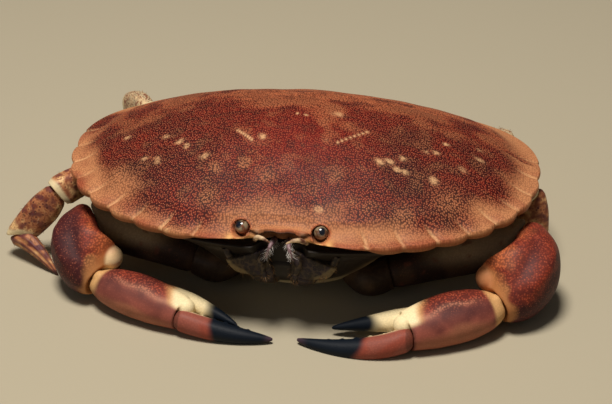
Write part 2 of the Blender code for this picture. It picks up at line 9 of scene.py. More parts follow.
import bmesh
import bpy
import numpy as np
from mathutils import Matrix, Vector


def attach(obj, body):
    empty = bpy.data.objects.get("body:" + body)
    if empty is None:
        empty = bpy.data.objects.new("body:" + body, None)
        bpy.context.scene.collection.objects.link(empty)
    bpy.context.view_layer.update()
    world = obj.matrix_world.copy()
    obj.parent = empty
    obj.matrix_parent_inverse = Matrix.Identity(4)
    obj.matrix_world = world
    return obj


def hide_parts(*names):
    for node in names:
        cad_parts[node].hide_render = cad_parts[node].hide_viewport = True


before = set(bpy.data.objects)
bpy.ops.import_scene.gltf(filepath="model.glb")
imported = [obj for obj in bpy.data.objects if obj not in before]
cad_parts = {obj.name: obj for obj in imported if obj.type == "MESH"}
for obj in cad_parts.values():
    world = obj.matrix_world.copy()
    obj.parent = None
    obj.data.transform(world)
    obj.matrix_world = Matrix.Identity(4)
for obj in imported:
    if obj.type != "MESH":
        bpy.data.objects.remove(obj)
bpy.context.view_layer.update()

# Floor, light and camera. The floor is a plain pale sheet that runs out of sight. One broad soft light
# hangs above the front of the crab and a weaker one fills from the side, as in a museum studio.
CAMERA_RISE, CAMERA_TURN = math.radians(30.5), math.radians(8.4)
CAMERA_DISTANCE, CAMERA_LENS, SENSOR_WIDTH, CLIP_START = 0.600, 101.6, 36.0, 0.01
CAMERA_AIM = Vector((0.0005, 0.0, 0.019))
FLOOR_SIZE, FLOOR_COLOUR, FLOOR_ROUGHNESS = 6.0, (0.40, 0.35, 0.25), 0.9
SKY_COLOUR, SKY_STRENGTH = (1.0, 0.98, 0.95), 0.08
LIGHTS = (  # name, place, size across, power, colour
    ("key", (-0.08, -0.20, 1.0), 0.30, 13.0, (1.0, 0.95, 0.88)),
    ("fill", (-0.60, -0.85, 0.36), 0.7, 0.7, (1.0, 0.97, 0.94)),
)


def put_in_scene(name, data):
    made = bpy.data.objects.new(name, data)
    bpy.context.scene.collection.objects.link(made)
    return made


def new_look(name, **finish):
    """A material, its tree and its shader, whose inputs are set by name."""
    look = bpy.data.materials.new(name)
    look.use_nodes = True
    shader = look.node_tree.nodes["Principled BSDF"]
    for label, value in finish.items():
        shader.inputs[label.replace("_", " ")].default_value = value
    return look, look.node_tree, shader


floor_mesh = bpy.data.meshes.new("floor")
half = FLOOR_SIZE / 2
floor_mesh.from_pydata([(-half, -half, 0), (half, -half, 0), (half, half, 0), (-half, half, 0)], [],
                       [(0, 1, 2, 3)])
floor = put_in_scene("floor", floor_mesh)
floor_look, *_ = new_look("floor", Base_Color=(*FLOOR_COLOUR, 1), Roughness=FLOOR_ROUGHNESS)
floor_mesh.materials.append(floor_look)

world = bpy.data.worlds.new("studio")
world.use_nodes = True
sky = world.node_tree.nodes["Background"]
sky.inputs["Color"].default_value = (*SKY_COLOUR, 1)
sky.inputs["Strength"].default_value = SKY_STRENGTH
bpy.context.scene.world = world
bpy.context.scene.view_settings.view_transform = "Standard"

for light_name, place, size, power, tone in LIGHTS:
    lamp = bpy.data.lights.new(light_name, "AREA")
    lamp.shape = "DISK"
    lamp.size, lamp.energy, lamp.color = size, power, tone
    holder = put_in_scene(light_name, lamp)
    holder.location = place
    holder.rotation_euler = (CAMERA_AIM - Vector(place)).to_track_quat("-Z", "Y").to_euler()

camera = put_in_scene("camera", bpy.data.cameras.new("camera"))
level_part = math.cos(CAMERA_RISE)
behind = Vector((math.sin(CAMERA_TURN) * level_part, -math.cos(CAMERA_TURN) * level_part,
                 math.sin(CAMERA_RISE)))
camera.location = CAMERA_AIM + behind * CAMERA_DISTANCE
camera.rotation_euler = (-behind).to_track_quat("-Z", "Y").to_euler()
camera.data.lens, camera.data.sensor_width, camera.data.clip_start = CAMERA_LENS, SENSOR_WIDTH, CLIP_START
bpy.context.scene.camera = camera


# Upper shell: a broad dome of hard, grainy shell, cast in one piece. Its front half is edged with nine
# lobes a side, parted by short clefts, and two orbits for the eyes are sunk in its front.
MM = 0.001
SIDES = {"right": -1.0, "left": 1.0}
SHELL_HALF_WIDTH, SHELL_FRONT, SHELL_REAR = 80.0, 57.0, 47.5
SHELL_FRONT_POWER, SHELL_REAR_POWER = 2.25, 2.45
RIM_HEIGHT, SHELL_BOTTOM = 36.0, 33.0
DOME_HEIGHT, DOME_POWER, DOME_CENTRE_Y = 21.5, 1.85, -2.0
BRIM_START, BRIM_DROP = 0.86, 1.1
LOBE_COUNT, LOBE_WIDTH, LOBE_DEPTH, LOBE_POWER, LOBE_FADE = 9, 11.5, 2.3, 0.60, 0.88
LOBE_SWELL, CLEFT_DEPTH, CLEFT_WIDTH, CLEFT_LENGTH = 0.80, 0.50, 0.80, 0.10
FRONT_HALF_WIDTH, FRONT_RISE, FRONT_SETBACK, FRONT_FADE = 17.0, 2.9, 1.8, 7
FRONT_NOTCH, FRONT_NOTCH_POWER = 10.2, 10
BROW_RISE, BROW_SETBACK, BROW_NOTCH, BROW_NOTCH_POWER = 1.0, 2.6, 17.0, 5
FRONT_LIFT, REAR_DROP = 3.4, 1.6
FRONT_TEETH = ((0.0, 0.9), (6.4, 1.1), (-6.4, 1.1))
SHELL_REGIONS = (  # swellings and dips a side: across, along, their half sizes, height
    (0.0, -20.0, 17.0, 14.0, 0.8),
    (24.0, -24.0, 12.0, 11.0, 0.6),
    (45.0, -4.0, 20.0, 19.0, 1.2),
    (0.0, 12.0, 11.0, 11.0, 0.5),
    (0.0, 30.0, 14.0, 8.0, 0.5),
    (14.0, 2.0, 5.0, 12.0, -0.6),
)
HOLLOW_HEIGHT, HOLLOW_HIGH, HOLLOW_WIDE, HOLLOW_BACK = 31.2, 7.7, 7.6, -49.5
EYE_CENTRE, EYE_RADIUS = (12.65, -49.9, 37.85), 2.35
ORBIT_SIZE, ORBIT_AHEAD = (2.65, 4.2, 2.6), 1.0
BROW_LINE = ((11.0, 38.9), (9.5, 38.3), (8.4, 37.9), (7.2, 37.9))
FEELER_KNOB, FEELER_KNOB_SIZE = (7.3, 38.7), (0.9, 0.7)
# each lobe of the lower lid: its place, its reach and how far it stands out
LOWER_LIDS = ((8.9, -54.6, 36.3, 1.6, 0.5), (12.4, -54.8, 36.6, 1.6, 0.3), (15.8, -55.2, 36.8, 1.3, 0.3))
SHELL_STATIONS, SHELL_RINGS = 310, 118
FRONT_CROWDING, EDGE_CROWDING = 1.25, 1.2


def colour(red, green, blue):
    """A colour given in display values from 0 to 255, as the linear values that shaders work with."""
    value = np.array([red, green, blue], float) / 255
    return np.where(value <= 0.04045, value / 12.92, ((value + 0.055) / 1.055) ** 2.4)


def smooth(low, high, value):
    """0 below low, 1 above high and an easy curve between them."""
    t = np.clip((value - low) / (high - low), 0, 1)
    return t * t * (3 - 2 * t)


def spot(value, middle, width):
    return np.exp(-(((value - middle) / width) ** 2))


def mix(under, over, amount):
    return under + (over - under) * np.asarray(amount)[..., None]


def coated(under, *coats):
    """Colours laid over one another in turn. Each coat is a colour and how much of it shows at each point."""
    for tone, amount in coats:
        under = mix(under, tone, amount)
    return under


def unit(vector):
    vector = np.asarray(vector, float)
    return vector / np.linalg.norm(vector, axis=-1, keepdims=True)


def mottle(points, size, seed, waves=28):
    """A soft random pattern over points, mostly between -1 and 1, whose patches are about size across."""
    chance = np.random.default_rng(seed)
    pull = unit(chance.normal(size=(waves, 3))) * chance.uniform(0.6, 1.5, (waves, 1)) * math.pi / size
    return np.cos(np.asarray(points) @ pull.T + chance.uniform(0, 7, waves)).sum(-1) * math.sqrt(2 / waves)


def piece(name, points, faces, look, **paint):
    """A smooth mesh object from points in millimetres. paint is what its material reads at each point."""
    mesh = bpy.data.meshes.new(name)
    mesh.from_pydata((np.asarray(points) * MM).tolist(), [], [list(face) for face in faces])
    for layer, values in paint.items():
        values = np.asarray(values, float)
        if values.ndim == 2:
            attribute = mesh.color_attributes.new(layer, "FLOAT_COLOR", "POINT")
            attribute.data.foreach_set("color", np.column_stack([values, np.ones(len(values))]).ravel())
        else:
            attribute = mesh.attributes.new(layer, "FLOAT", "POINT")
            attribute.data.foreach_set("value", values)
    mesh.materials.append(look)
    mesh.shade_smooth()
    return put_in_scene(name, mesh)


def node(tree, kind, settings=None, **inputs):
    """One node, with its settings and its inputs. An input is a number or another node's output."""
    made = tree.nodes.new(kind)
    for key, value in (settings or {}).items():
        setattr(made, key, value)
    for key, value in inputs.items():
        socket = made.inputs[int(key[1:])] if key[1:].isdigit() else made.inputs[key.replace("_", " ")]
        if isinstance(value, bpy.types.NodeSocket):
            tree.links.new(value, socket)
        else:
            socket.default_value = value
    return made


def ranged(tree, value, start=0.0, end=1.0, least=0.0, most=1.0, easing="LINEAR"):
    """A value that goes from least to most as another goes from start to end."""
    return node(tree, "ShaderNodeMapRange", {"interpolation_type": easing}, Value=value, From_Min=start,
                From_Max=end, To_Min=least, To_Max=most).outputs["Result"]


def feed(shader, **inputs):
    """Links the outputs of other nodes into a shader."""
    for label, output in inputs.items():
        shader.id_data.links.new(output, shader.inputs[label.replace("_", " ")])


CELL_CHANCE, LEAST_DOT, MOST_CHINK = 0.85, 0.25, 0.85
BLOTCH_SCALE, BLOTCH_DETAIL, BLOTCH_RANGE, MOST_BLOTCH = 140.0, 4.0, (0.50, 0.75), 0.35
SPECK_SCALE, SPECK_DETAIL, SPECK_RANGE, MOST_SPECK = 2600.0, 2.0, (0.45, 0.75), 0.30
SPECK_RISE, GRAIN_RISE = 0.35, 0.15
SMOOTHER, ROUGHER = 0.10, 0.14


def shell_look(name, grain, dot, net, dot_share, net_share, bump, roughness, flat=False):
    """Shell whose colour is painted on the mesh as Tint, strewn with grains about one grain apart. Grains
    have the dot colour, the chinks between them the net colour, both as strongly as the Grain layer says."""
    look, tree, shader = new_look(name, Specular_IOR_Level=0.16, Coat_Weight=0.03, Coat_Roughness=0.35)
    shade = node(tree, "ShaderNodeAttribute", {"attribute_name": "Tint"}).outputs["Color"]
    strength = node(tree, "ShaderNodeAttribute", {"attribute_name": "Grain"}).outputs["Fac"]
    place = node(tree, "ShaderNodeTexCoord").outputs["Object"]
    cells = node(tree, "ShaderNodeTexVoronoi", {"voronoi_dimensions": "2D" if flat else "3D"}, Vector=place,
                 Scale=1 / (grain * MM), Randomness=CELL_CHANCE).outputs
    chance = node(tree, "ShaderNodeSeparateColor", Color=cells["Color"]).outputs["Red"]
    dots = ranged(tree, cells["Distance"], dot_share[1], dot_share[0],
                  most=ranged(tree, chance, least=LEAST_DOT), easing="SMOOTHSTEP")
    chinks = ranged(tree, cells["Distance"], *net_share, most=MOST_CHINK, easing="SMOOTHSTEP")
    blotch, speck = (node(tree, "ShaderNodeTexNoise", Vector=place, Scale=scale, Detail=detail).outputs["Fac"]
                     for scale, detail in ((BLOTCH_SCALE, BLOTCH_DETAIL), (SPECK_SCALE, SPECK_DETAIL)))
    blotches = ranged(tree, blotch, *BLOTCH_RANGE, most=MOST_BLOTCH)
    specks = ranged(tree, speck, *SPECK_RANGE, most=MOST_SPECK)
    for over, mask in ((net, blotches), (net, chinks), (dot, dots), (net, specks)):
        amount = node(tree, "ShaderNodeMath", {"operation": "MULTIPLY"}, _0=mask, _1=strength).outputs[0]
        shade = node(tree, "ShaderNodeMix", {"data_type": "RGBA"}, A=shade, B=(*over, 1),
                     Factor=amount).outputs["Result"]
    height = node(tree, "ShaderNodeMath", {"operation": "MULTIPLY_ADD"}, _0=speck, _1=SPECK_RISE, _2=dots)
    rise = node(tree, "ShaderNodeBump", Strength=bump, Distance=GRAIN_RISE * MM, Height=height.outputs[0])
    feed(shader, Base_Color=shade, Normal=rise.outputs["Normal"],
         Roughness=ranged(tree, blotch, least=roughness - SMOOTHER, most=roughness + ROUGHER))
    return look


def rim_outline(turn):
    """The plain oval of the shell: turn 0 is the left side, and a quarter turn on is the front."""
    c, s = np.cos(turn), np.sin(turn)
    power = np.where(s > 0, SHELL_FRONT_POWER, SHELL_REAR_POWER)
    reach = np.where(s > 0, SHELL_FRONT, SHELL_REAR)
    x = SHELL_HALF_WIDTH * np.sign(c) * np.abs(c) ** (2 / power)
    return x, -reach * np.sign(s) * np.abs(s) ** (2 / power)


def rim_stations(count):
    """Evenly spaced points round the rim, from the rear over the left side to the front and back over the
    right, with each one's distance along the rim behind the outer corner of its orbit."""
    fine = np.linspace(-math.pi / 2, math.pi / 2, 4001)
    x, y = rim_outline(fine)
    along = np.concatenate([[0], np.cumsum(np.hypot(np.diff(x), np.diff(y)))])
    front = y < 0
    corner_at = np.interp(-FRONT_HALF_WIDTH, -x[front], along[front])
    even = along[-1] * (1 - (1 - np.linspace(0, 1, count + 1)) ** FRONT_CROWDING)
    turn = np.interp(even, along, fine)
    x, y = rim_outline(turn)
    reach = corner_at - even
    inner = slice(count - 1, 0, -1)
    return np.append(x, -x[inner]), np.append(y, y[inner]), np.append(reach, reach[inner])


def grid_faces(rings, count):
    """Faces of a tube of rings with the same number of points, numbered ring by ring."""
    ring, step = np.meshgrid(np.arange(rings - 1), np.arange(count), indexing="ij")
    a, b = ring * count, (ring + 1) * count
    after = (step + 1) % count
    return np.stack([a + step, a + after, b + after, b + step], -1).reshape(-1, 4)


rim_x, rim_y, rim_reach = rim_stations(SHELL_STATIONS)
stations = len(rim_x)
share = 1 - (1 - (np.arange(1, SHELL_RINGS + 1) / SHELL_RINGS)[:, None]) ** EDGE_CROWDING
in_front = rim_y < 0
front_part = np.where(in_front, 1 / (1 + (np.abs(rim_x) / FRONT_NOTCH) ** FRONT_NOTCH_POWER), 0)
brow_part = np.where(in_front, 1 / (1 + (np.abs(rim_x) / BROW_NOTCH) ** BROW_NOTCH_POWER), 0)
raised, brow_raised = front_part * share**FRONT_FADE, brow_part * share**FRONT_FADE
edge_y = rim_y + FRONT_SETBACK * raised + BROW_SETBACK * brow_raised
rear_fall = np.where(in_front, 0, REAR_DROP * (rim_y / SHELL_REAR) ** 2)
edge_z = RIM_HEIGHT + FRONT_RISE * raised + BROW_RISE * brow_raised - rear_fall
lobe_place = rim_reach / LOBE_WIDTH
on_lobes = (rim_reach > 0) & (rim_reach < LOBE_COUNT * LOBE_WIDTH)
lobe_bulge = np.abs(np.sin(math.pi * lobe_place)) ** LOBE_POWER
# the lobes shrink towards the last one, and those beside the orbit are low too
lobe_size = np.where(on_lobes, np.minimum(1, 1.5 * (LOBE_COUNT - lobe_place) / LOBE_COUNT + 0.35), 0)
lobe_size = lobe_size * (0.55 + 0.45 * smooth(1.5, 4.5, lobe_place)) * smooth(0.0, 0.8, lobe_place)
cleft_off = np.abs(lobe_place - np.round(lobe_place)) * LOBE_WIDTH
cleft = np.where(on_lobes & (np.round(lobe_place) > 0.5), spot(cleft_off, 0, CLEFT_WIDTH), 0)

# the dome, drawn down a little where it runs out into the brim, then its swellings, lobes and clefts
dome = 1 - share**DOME_POWER
brim = np.clip((share - BRIM_START) / (1 - BRIM_START), 0, 1)
dome = dome - BRIM_DROP / DOME_HEIGHT * np.sin(math.pi * brim) * 0.8
shell_x = rim_x * share
shell_y = DOME_CENTRE_Y + (edge_y - DOME_CENTRE_Y) * share
shell_z = edge_z + (RIM_HEIGHT - edge_z) * (1 - share) + DOME_HEIGHT * dome
relief = np.zeros_like(shell_x)
for across, along, wide, long, high in SHELL_REGIONS:
    for centre in {across, -across}:
        relief += high * spot(shell_x, centre, wide) * spot(shell_y, along, long)
shell_z += relief * (1 - share**4)
shell_z += LOBE_SWELL * lobe_size * (np.sqrt(lobe_bulge) - 0.6) * smooth(0.86, 0.98, share)
shell_z -= CLEFT_DEPTH * cleft * smooth(1 - CLEFT_LENGTH, 1, share)
shell_z += 0.10 * (mottle(np.stack([shell_x, shell_y, shell_z], -1), 7, 3) - 0.6) * (1 - share**3)
inwards = -unit(np.stack([shell_x, shell_y * 1.6, np.zeros_like(shell_x)], -1))
drawn_in = LOBE_DEPTH * lobe_size * (1 - lobe_bulge) * np.clip((share - LOBE_FADE) / (1 - LOBE_FADE), 0, 1)
shell_x = shell_x + inwards[..., 0] * drawn_in
shell_y = shell_y + inwards[..., 1] * drawn_in
for tooth_x, tooth_out in FRONT_TEETH:
    shell_y -= tooth_out * spot(shell_x, tooth_x, 2.1) * smooth(0.93, 1.0, share) * in_front

# the rounded edge and the flat under the rim
top_edge = np.stack([shell_x[-1], shell_y[-1], shell_z[-1]], -1)
edge_rings = []
lifted = FRONT_LIFT * (1 - smooth(16, 36, np.abs(rim_x))) * in_front
for step in (0.12, 0.3, 0.5, 0.7, 0.88, 1.0):
    ring = top_edge - inwards[-1] * 0.32 * math.sin(math.pi * step)
    ring[:, 2] = top_edge[:, 2] + (SHELL_BOTTOM + 1.2 + 0.55 * lifted - top_edge[:, 2]) * step
    edge_rings.append(ring)
for inset, height, rise in ((0.996, 33.3, 1.0), (0.985, 33.0, 1.0), (0.96, 33.0, 1.0), (0.92, 33.0, 0.3),
                            (0.89, 33.0, 0.0), (0.865, 33.0, 0.0), (0.84, 33.0, 0.0), (0.5, 33.0, 0.0)):
    ring = top_edge * inset
    ring[:, 2] = height + rise * lifted
    edge_rings.append(ring)
shell_points = np.concatenate([np.stack([shell_x, shell_y, shell_z], -1), np.array(edge_rings)])
ring_share = np.concatenate([share[:, 0], 1 + np.arange(1, len(edge_rings) + 1) * 0.01])
ring_share = np.repeat(ring_share[:, None], stations, 1)
points = shell_points.reshape(-1, 3)
point_share = ring_share.ravel()
point_size = np.tile(lobe_size, len(ring_share))

# the hollow between the orbits, where the small feelers fold away
hollow_part = np.clip(1 - (np.abs(points[:, 0]) / HOLLOW_WIDE) ** 4, 0, 1) ** (1 / 4)
roof = HOLLOW_HEIGHT + HOLLOW_HIGH * hollow_part
roofed = (np.abs(points[:, 0]) < HOLLOW_WIDE) & (points[:, 1] < HOLLOW_BACK) & (points[:, 2] < roof)
points[roofed, 2] = roof[roofed]

# the orbits, each with its raised lip, brow, lower lids and the furrow to the knob of the feeler's base
ORBIT_WAY, BROW_PUSH, LIP_RISE = (0.25, -0.80, 0.55), (0.2, -1.0, -0.15), 0.30
FURROW_WIDTH, FURROW_DEPTH, KNOB_RISE = 0.55, 0.8, 0.5
LID_DEEP, LID_HIGH = 2.0, 1.3
orbit_shade, orbit_lip, lower_lid, furrow_shade, feeler_base = np.zeros((5, len(points)))
for side, sign in SIDES.items():
    mirror = np.array([sign, 1, 1])
    centre = np.array([EYE_CENTRE[0] * sign, EYE_CENTRE[1] - ORBIT_AHEAD, EYE_CENTRE[2]])
    outwards = unit(ORBIT_WAY * mirror)
    radii = np.array(ORBIT_SIZE)
    local = (points - centre) / radii
    depth = np.linalg.norm(local, axis=1)
    lip = spot(depth, 1.14, 0.13) * (point_share <= 1.03)
    brow = lip * smooth(0.15, 0.75, local[:, 2])
    points += unit(points - centre) * (LIP_RISE * lip)[:, None] + BROW_PUSH * mirror * brow[:, None]
    inside = depth < 1
    way = outwards / radii
    a, b, c = way @ way, local[inside] @ way, (local[inside] ** 2).sum(1) - 1
    back = (b + np.sqrt(b * b - a * c)) / a
    points[inside] -= outwards * back[:, None]
    # painted shade inside each orbit and round its rim, strongest at the top under the brow
    over = smooth(-0.5, 0.3, local[:, 2])
    orbit_shade = np.maximum(orbit_shade, np.where(inside, 0.35 + 0.65 * over, spot(depth, 1.0, 0.12) * over))
    frontal = np.stack([np.abs(points[:, 0]), points[:, 2]], -1)
    furrow_off = np.full(len(points), 9.0)
    for (x0, z0), (x1, z1) in zip(BROW_LINE, BROW_LINE[1:]):
        run = np.array([x1 - x0, z1 - z0])
        t = np.clip((frontal - (x0, z0)) @ run / (run @ run), 0, 1)[:, None]
        furrow_off = np.minimum(furrow_off, np.linalg.norm(frontal - (x0, z0) - t * run, axis=1))
    at_front = (points[:, 1] < -48) & (points[:, 0] * sign > 0) & (point_share < 1.06)
    furrow = spot(furrow_off, 0, FURROW_WIDTH) * at_front * (point_share > 0.99)
    points[:, 1] += FURROW_DEPTH * furrow
    off = np.linalg.norm((frontal - FEELER_KNOB) / FEELER_KNOB_SIZE, axis=1)
    knob = spot(off, 0, 1) * at_front
    points[:, 1] -= KNOB_RISE * knob
    # the furrow is painted dark as the shade in it
    furrow_shade = np.maximum(furrow_shade, furrow)
    feeler_base = np.maximum(feeler_base, knob)
    orbit_lip = np.maximum(orbit_lip, lip)
    for lobe_x, lobe_y, lobe_z, lobe_reach, lobe_out in LOWER_LIDS:
        off = (points - (lobe_x * sign, lobe_y, lobe_z)) / (lobe_reach, LID_DEEP, LID_HIGH)
        off = np.linalg.norm(off, axis=1)
        points[:, 1] -= lobe_out * spot(off, 0, 1)
        lower_lid = np.maximum(lower_lid, spot(off, 0, 1))

# colours of the shell, from its ground outwards: red heart, maroon clouds, tawny rear, orange rim, then marks
DARK_SHELL, RED_SHELL, ORANGE_SHELL = colour(126, 30, 18), colour(124, 20, 10), colour(190, 126, 84)
REAR_SHELL, MAROON_SHELL, PALE_SHELL = colour(196, 108, 68), colour(66, 16, 14), colour(236, 188, 136)
DUSKY_SHELL, RIM_UNDER_SHADE, RUST_SHELL = colour(150, 78, 54), colour(146, 92, 58), colour(150, 62, 36)
LIP_SHELL, LID_SHELL, KNOB_SHELL = colour(196, 96, 56), colour(232, 180, 112), colour(168, 142, 118)
FURROW_SHADE, ORBIT_SHADE, HOLLOW_SHADE = colour(50, 22, 18), colour(40, 20, 16), colour(34, 19, 15)
GRAIN_DOT, GRAIN_NET = colour(252, 184, 128), colour(30, 8, 8)
SCAR_ROWS = (((-19.7, -17.4), (-14.2, -22.0)), ((14.0, -20.6), (22.7, -13.0)))
PALE_MARKS = (  # x, y, size, strength
    (-10.8, -20.6, 1.5, 0.75), (10.3, -20.2, 1.5, 0.75), (11.9, -4.6, 2.2, 0.7), (1.6, -8.2, 0.8, 0.7),
    (-1.2, -8.0, 0.8, 0.7), (-28.9, -28.3, 1.7, 0.6), (28.7, -25.5, 1.9, 0.8), (31.4, -24.1, 1.3, 0.7),
    (35.8, -21.5, 1.2, 0.7), (34.2, -26.7, 1.2, 0.7), (37.0, -26.5, 1.2, 0.7), (46.0, -26.2, 1.9, 0.75),
    (42.4, -15.2, 1.1, 0.6), (45.3, -13.6, 1.0, 0.6), (48.7, -7.6, 0.8, 0.7), (59.8, -2.6, 1.2, 0.5),
    (59.8, -8.3, 1.6, 0.6), (54.4, -17.1, 1.3, 0.5), (-39.0, -19.7, 1.1, 0.65), (-35.8, -22.6, 0.9, 0.6),
    (-43.9, -16.3, 1.1, 0.6), (-59.3, -10.5, 1.1, 0.6), (-50.0, -25.0, 1.2, 0.6), (-45.1, -27.0, 1.8, 0.6),
    (-1.9, -41.9, 0.8, 0.8), (0.8, -41.2, 0.8, 0.8), (11.0, -45.2, 1.0, 0.5), (-12.6, -43.5, 0.8, 0.5),
    (27.0, -53.5, 1.1, 0.9), (-56.5, -45.0, 0.9, 0.6), (-47.0, -50.0, 0.9, 0.6), (-36.7, -52.0, 0.9, 0.6),
    (-27.0, -55.0, 1.0, 0.6),
)
ORANGE_MARKS = (  # x, y, size
    (-58.0, -30.0, 5.0), (52.0, -34.0, 6.0), (38.0, -43.0, 4.0), (-24.5, -32.1, 2.4), (-7.4, -35.7, 3.0),
    (-25.4, -42.2, 3.6), (25.9, -42.2, 2.6), (21.7, -41.1, 2.0), (-15.0, -31.0, 2.2), (15.5, -33.0, 2.2),
)
# x and its spread, y and its spread
MAROON_PATCHES = ((-38, 11, -27, 6), (40, 14, -30, 6), (10, 9, -33, 5), (-22, 8, -37, 5))
STREAK_WIDTH, SCAR_DOTS, SCAR_WIDTH = 0.48, 8, 0.40

x, y = points[:, 0], points[:, 1]
broad, medium, small, tiny = (mottle(points * (1, 1, 0), size, seed)
                              for size, seed in ((26, 5), (11, 6), (4.5, 7), (1.6, 8)))
maroon = (np.clip(0.5 + 0.5 * medium + 0.4 * small, 0, 1) * smooth(18, 34, np.abs(x))
          * (1 - smooth(-12, 10, y)))
patches = np.max([spot(x, px, wide) * spot(y, py, long) for px, wide, py, long in MAROON_PATCHES], axis=0)
rear = smooth(-4, 16, y + 7 * medium + 3 * small - 0.10 * np.abs(x))
flank = smooth(45, 74, np.abs(x)) * (y < 5) * np.where(x > 0, 1.5, 1.0)
margin = smooth(0.875, 0.985, point_share + 0.030 * medium + 0.02 * broad + 0.045 * flank)
forehead = 0.75 * smooth(-43.0, -50.0, y + 1.5 * medium) * (1 - smooth(16, 26, np.abs(x)))
dusk = np.clip(0.45 + 0.6 * small, 0, 1) * smooth(0.90, 0.97, point_share) * (point_size > 0)
tint = coated(
    DARK_SHELL,
    # the red heart, maroon clouds and patches
    (RED_SHELL, 0.8 * spot(x, 3, 17) * spot(y, -24, 13)),
    (MAROON_SHELL, 0.68 * maroon * (1 - smooth(0.80, 0.95, point_share))),
    (MAROON_SHELL, 0.6 * patches * np.clip(0.8 + 0.4 * small, 0, 1)),
    # the tawny rear and a fine mottling all over
    (REAR_SHELL, 0.85 * rear),
    (REAR_SHELL, 0.6 * spot(x, 2, 30) * smooth(-10, 14, y + 6 * medium + 4 * small)),
    (ORANGE_SHELL, 0.18 * smooth(0.4, 2.0, small + 0.6 * tiny + 0.4 * medium)),
    (MAROON_SHELL, 0.45 * smooth(0.5, 1.6, 0.7 * tiny - small - 0.3 * medium)),
    (MAROON_SHELL, 0.45 * rear * smooth(-0.4, 1.8, medium + 0.5 * small + 0.3 * tiny)),
    # the orange margin and forehead, dusky in the middle of each lobe
    (ORANGE_SHELL, margin),
    (ORANGE_SHELL, forehead),
    (DUSKY_SHELL, 0.55 * dusk * lobe_bulge[np.arange(len(points)) % stations]),
)
for mark_x, mark_y, mark_size in ORANGE_MARKS:
    off = np.hypot(x - mark_x, y - mark_y) + 0.8 * small + 0.5 * tiny
    tint = mix(tint, ORANGE_SHELL, 0.5 * spot(off, 0, 0.85 * mark_size))
pale = np.zeros(len(points))
for mark_x, mark_y, mark_size, amount in PALE_MARKS:
    off = np.hypot(x - mark_x, (y - mark_y) * 1.2) + 0.4 * small + 0.3 * tiny
    pale = np.maximum(pale, amount * spot(off, 0, 0.8 * mark_size))
for (start_x, start_y), (end_x, end_y) in SCAR_ROWS:
    for step in np.linspace(0, 1, SCAR_DOTS):
        off = np.hypot(x - start_x - (end_x - start_x) * step, (y - start_y - (end_y - start_y) * step) * 0.6)
        pale = np.maximum(pale, 0.95 * spot(off, 0, SCAR_WIDTH))
streak = spot(np.abs(lobe_place - np.round(lobe_place)) * LOBE_WIDTH, 0, STREAK_WIDTH)
streak *= 0.75 + 0.25 * np.cos(3.7 * np.round(lobe_place) * np.sign(rim_x) + 1.0)
streak = np.tile(np.where(on_lobes & (np.round(lobe_place) > 0.5), streak, 0), len(ring_share))
pale = np.maximum(pale, 0.78 * streak * smooth(0.87, 0.97, point_share) * (point_share < 1.05))
rust = smooth(0.955, 0.99, point_share) * (y < -20) * (0.5 + 0.5 * np.clip(medium, -1, 1))
tint = coated(
    tint,
    (PALE_SHELL, pale),
    (RUST_SHELL, 0.65 * rust * (1 - pale)),
    # the lower part of the rounded edge and the flat under the rim, painted darker brown as shade
    (RIM_UNDER_SHADE, smooth(1.035, 1.06, point_share)),
    (LIP_SHELL, 0.75 * orbit_lip),
    (LID_SHELL, 0.85 * lower_lid),
    (KNOB_SHELL, 0.85 * feeler_base),
    # painted shade in the brow furrow
    (FURROW_SHADE, 0.9 * furrow_shade),
    # painted shade in each orbit
    (ORBIT_SHADE, 0.9 * orbit_shade),
)
# the hollow between the orbits is painted near black as shade
in_hollow = roofed | ((np.abs(x) < HOLLOW_WIDE) & (y < HOLLOW_BACK) & (points[:, 2] < roof + 0.25))
tint[in_hollow] = HOLLOW_SHADE
grain = (1 - 0.62 * margin) * (1 - 0.55 * forehead) * (1 - 0.8 * pale) * (1 - 0.25 * rear)
grain *= 1 - 0.30 * spot(x, 3, 22) * spot(y, -20, 16)
grain = np.where(point_share > 1.02, 0.15, grain) * (1 - orbit_shade) * (1 - feeler_base) * (1 - lower_lid)

crown = np.array([[0, DOME_CENTRE_Y, shell_z[0].mean()]])
foot = np.array([[0, DOME_CENTRE_Y, SHELL_BOTTOM]])
count = len(points)
ring_total = len(ring_share)
faces = grid_faces(ring_total, stations)[:, ::-1].tolist()
last = (ring_total - 1) * stations
faces += [(count, j, (j + 1) % stations) for j in range(stations)]
faces += [(count + 1, last + (j + 1) % stations, last + j) for j in range(stations)]
shell_grains = shell_look("red_shell", grain=0.68, dot=GRAIN_DOT, net=GRAIN_NET, dot_share=(0.05, 0.20),
                          net_share=(0.30, 0.54), bump=0.80, roughness=0.60, flat=True)
upper_shell = piece("carapace_shell", np.concatenate([points, crown, foot]), faces, shell_grains,
                    Tint=np.concatenate([tint, tint[:1], tint[-1:]]),
                    Grain=np.concatenate([grain, grain[:1], grain[-1:]]))
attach(upper_shell, "root")
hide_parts("carapace")


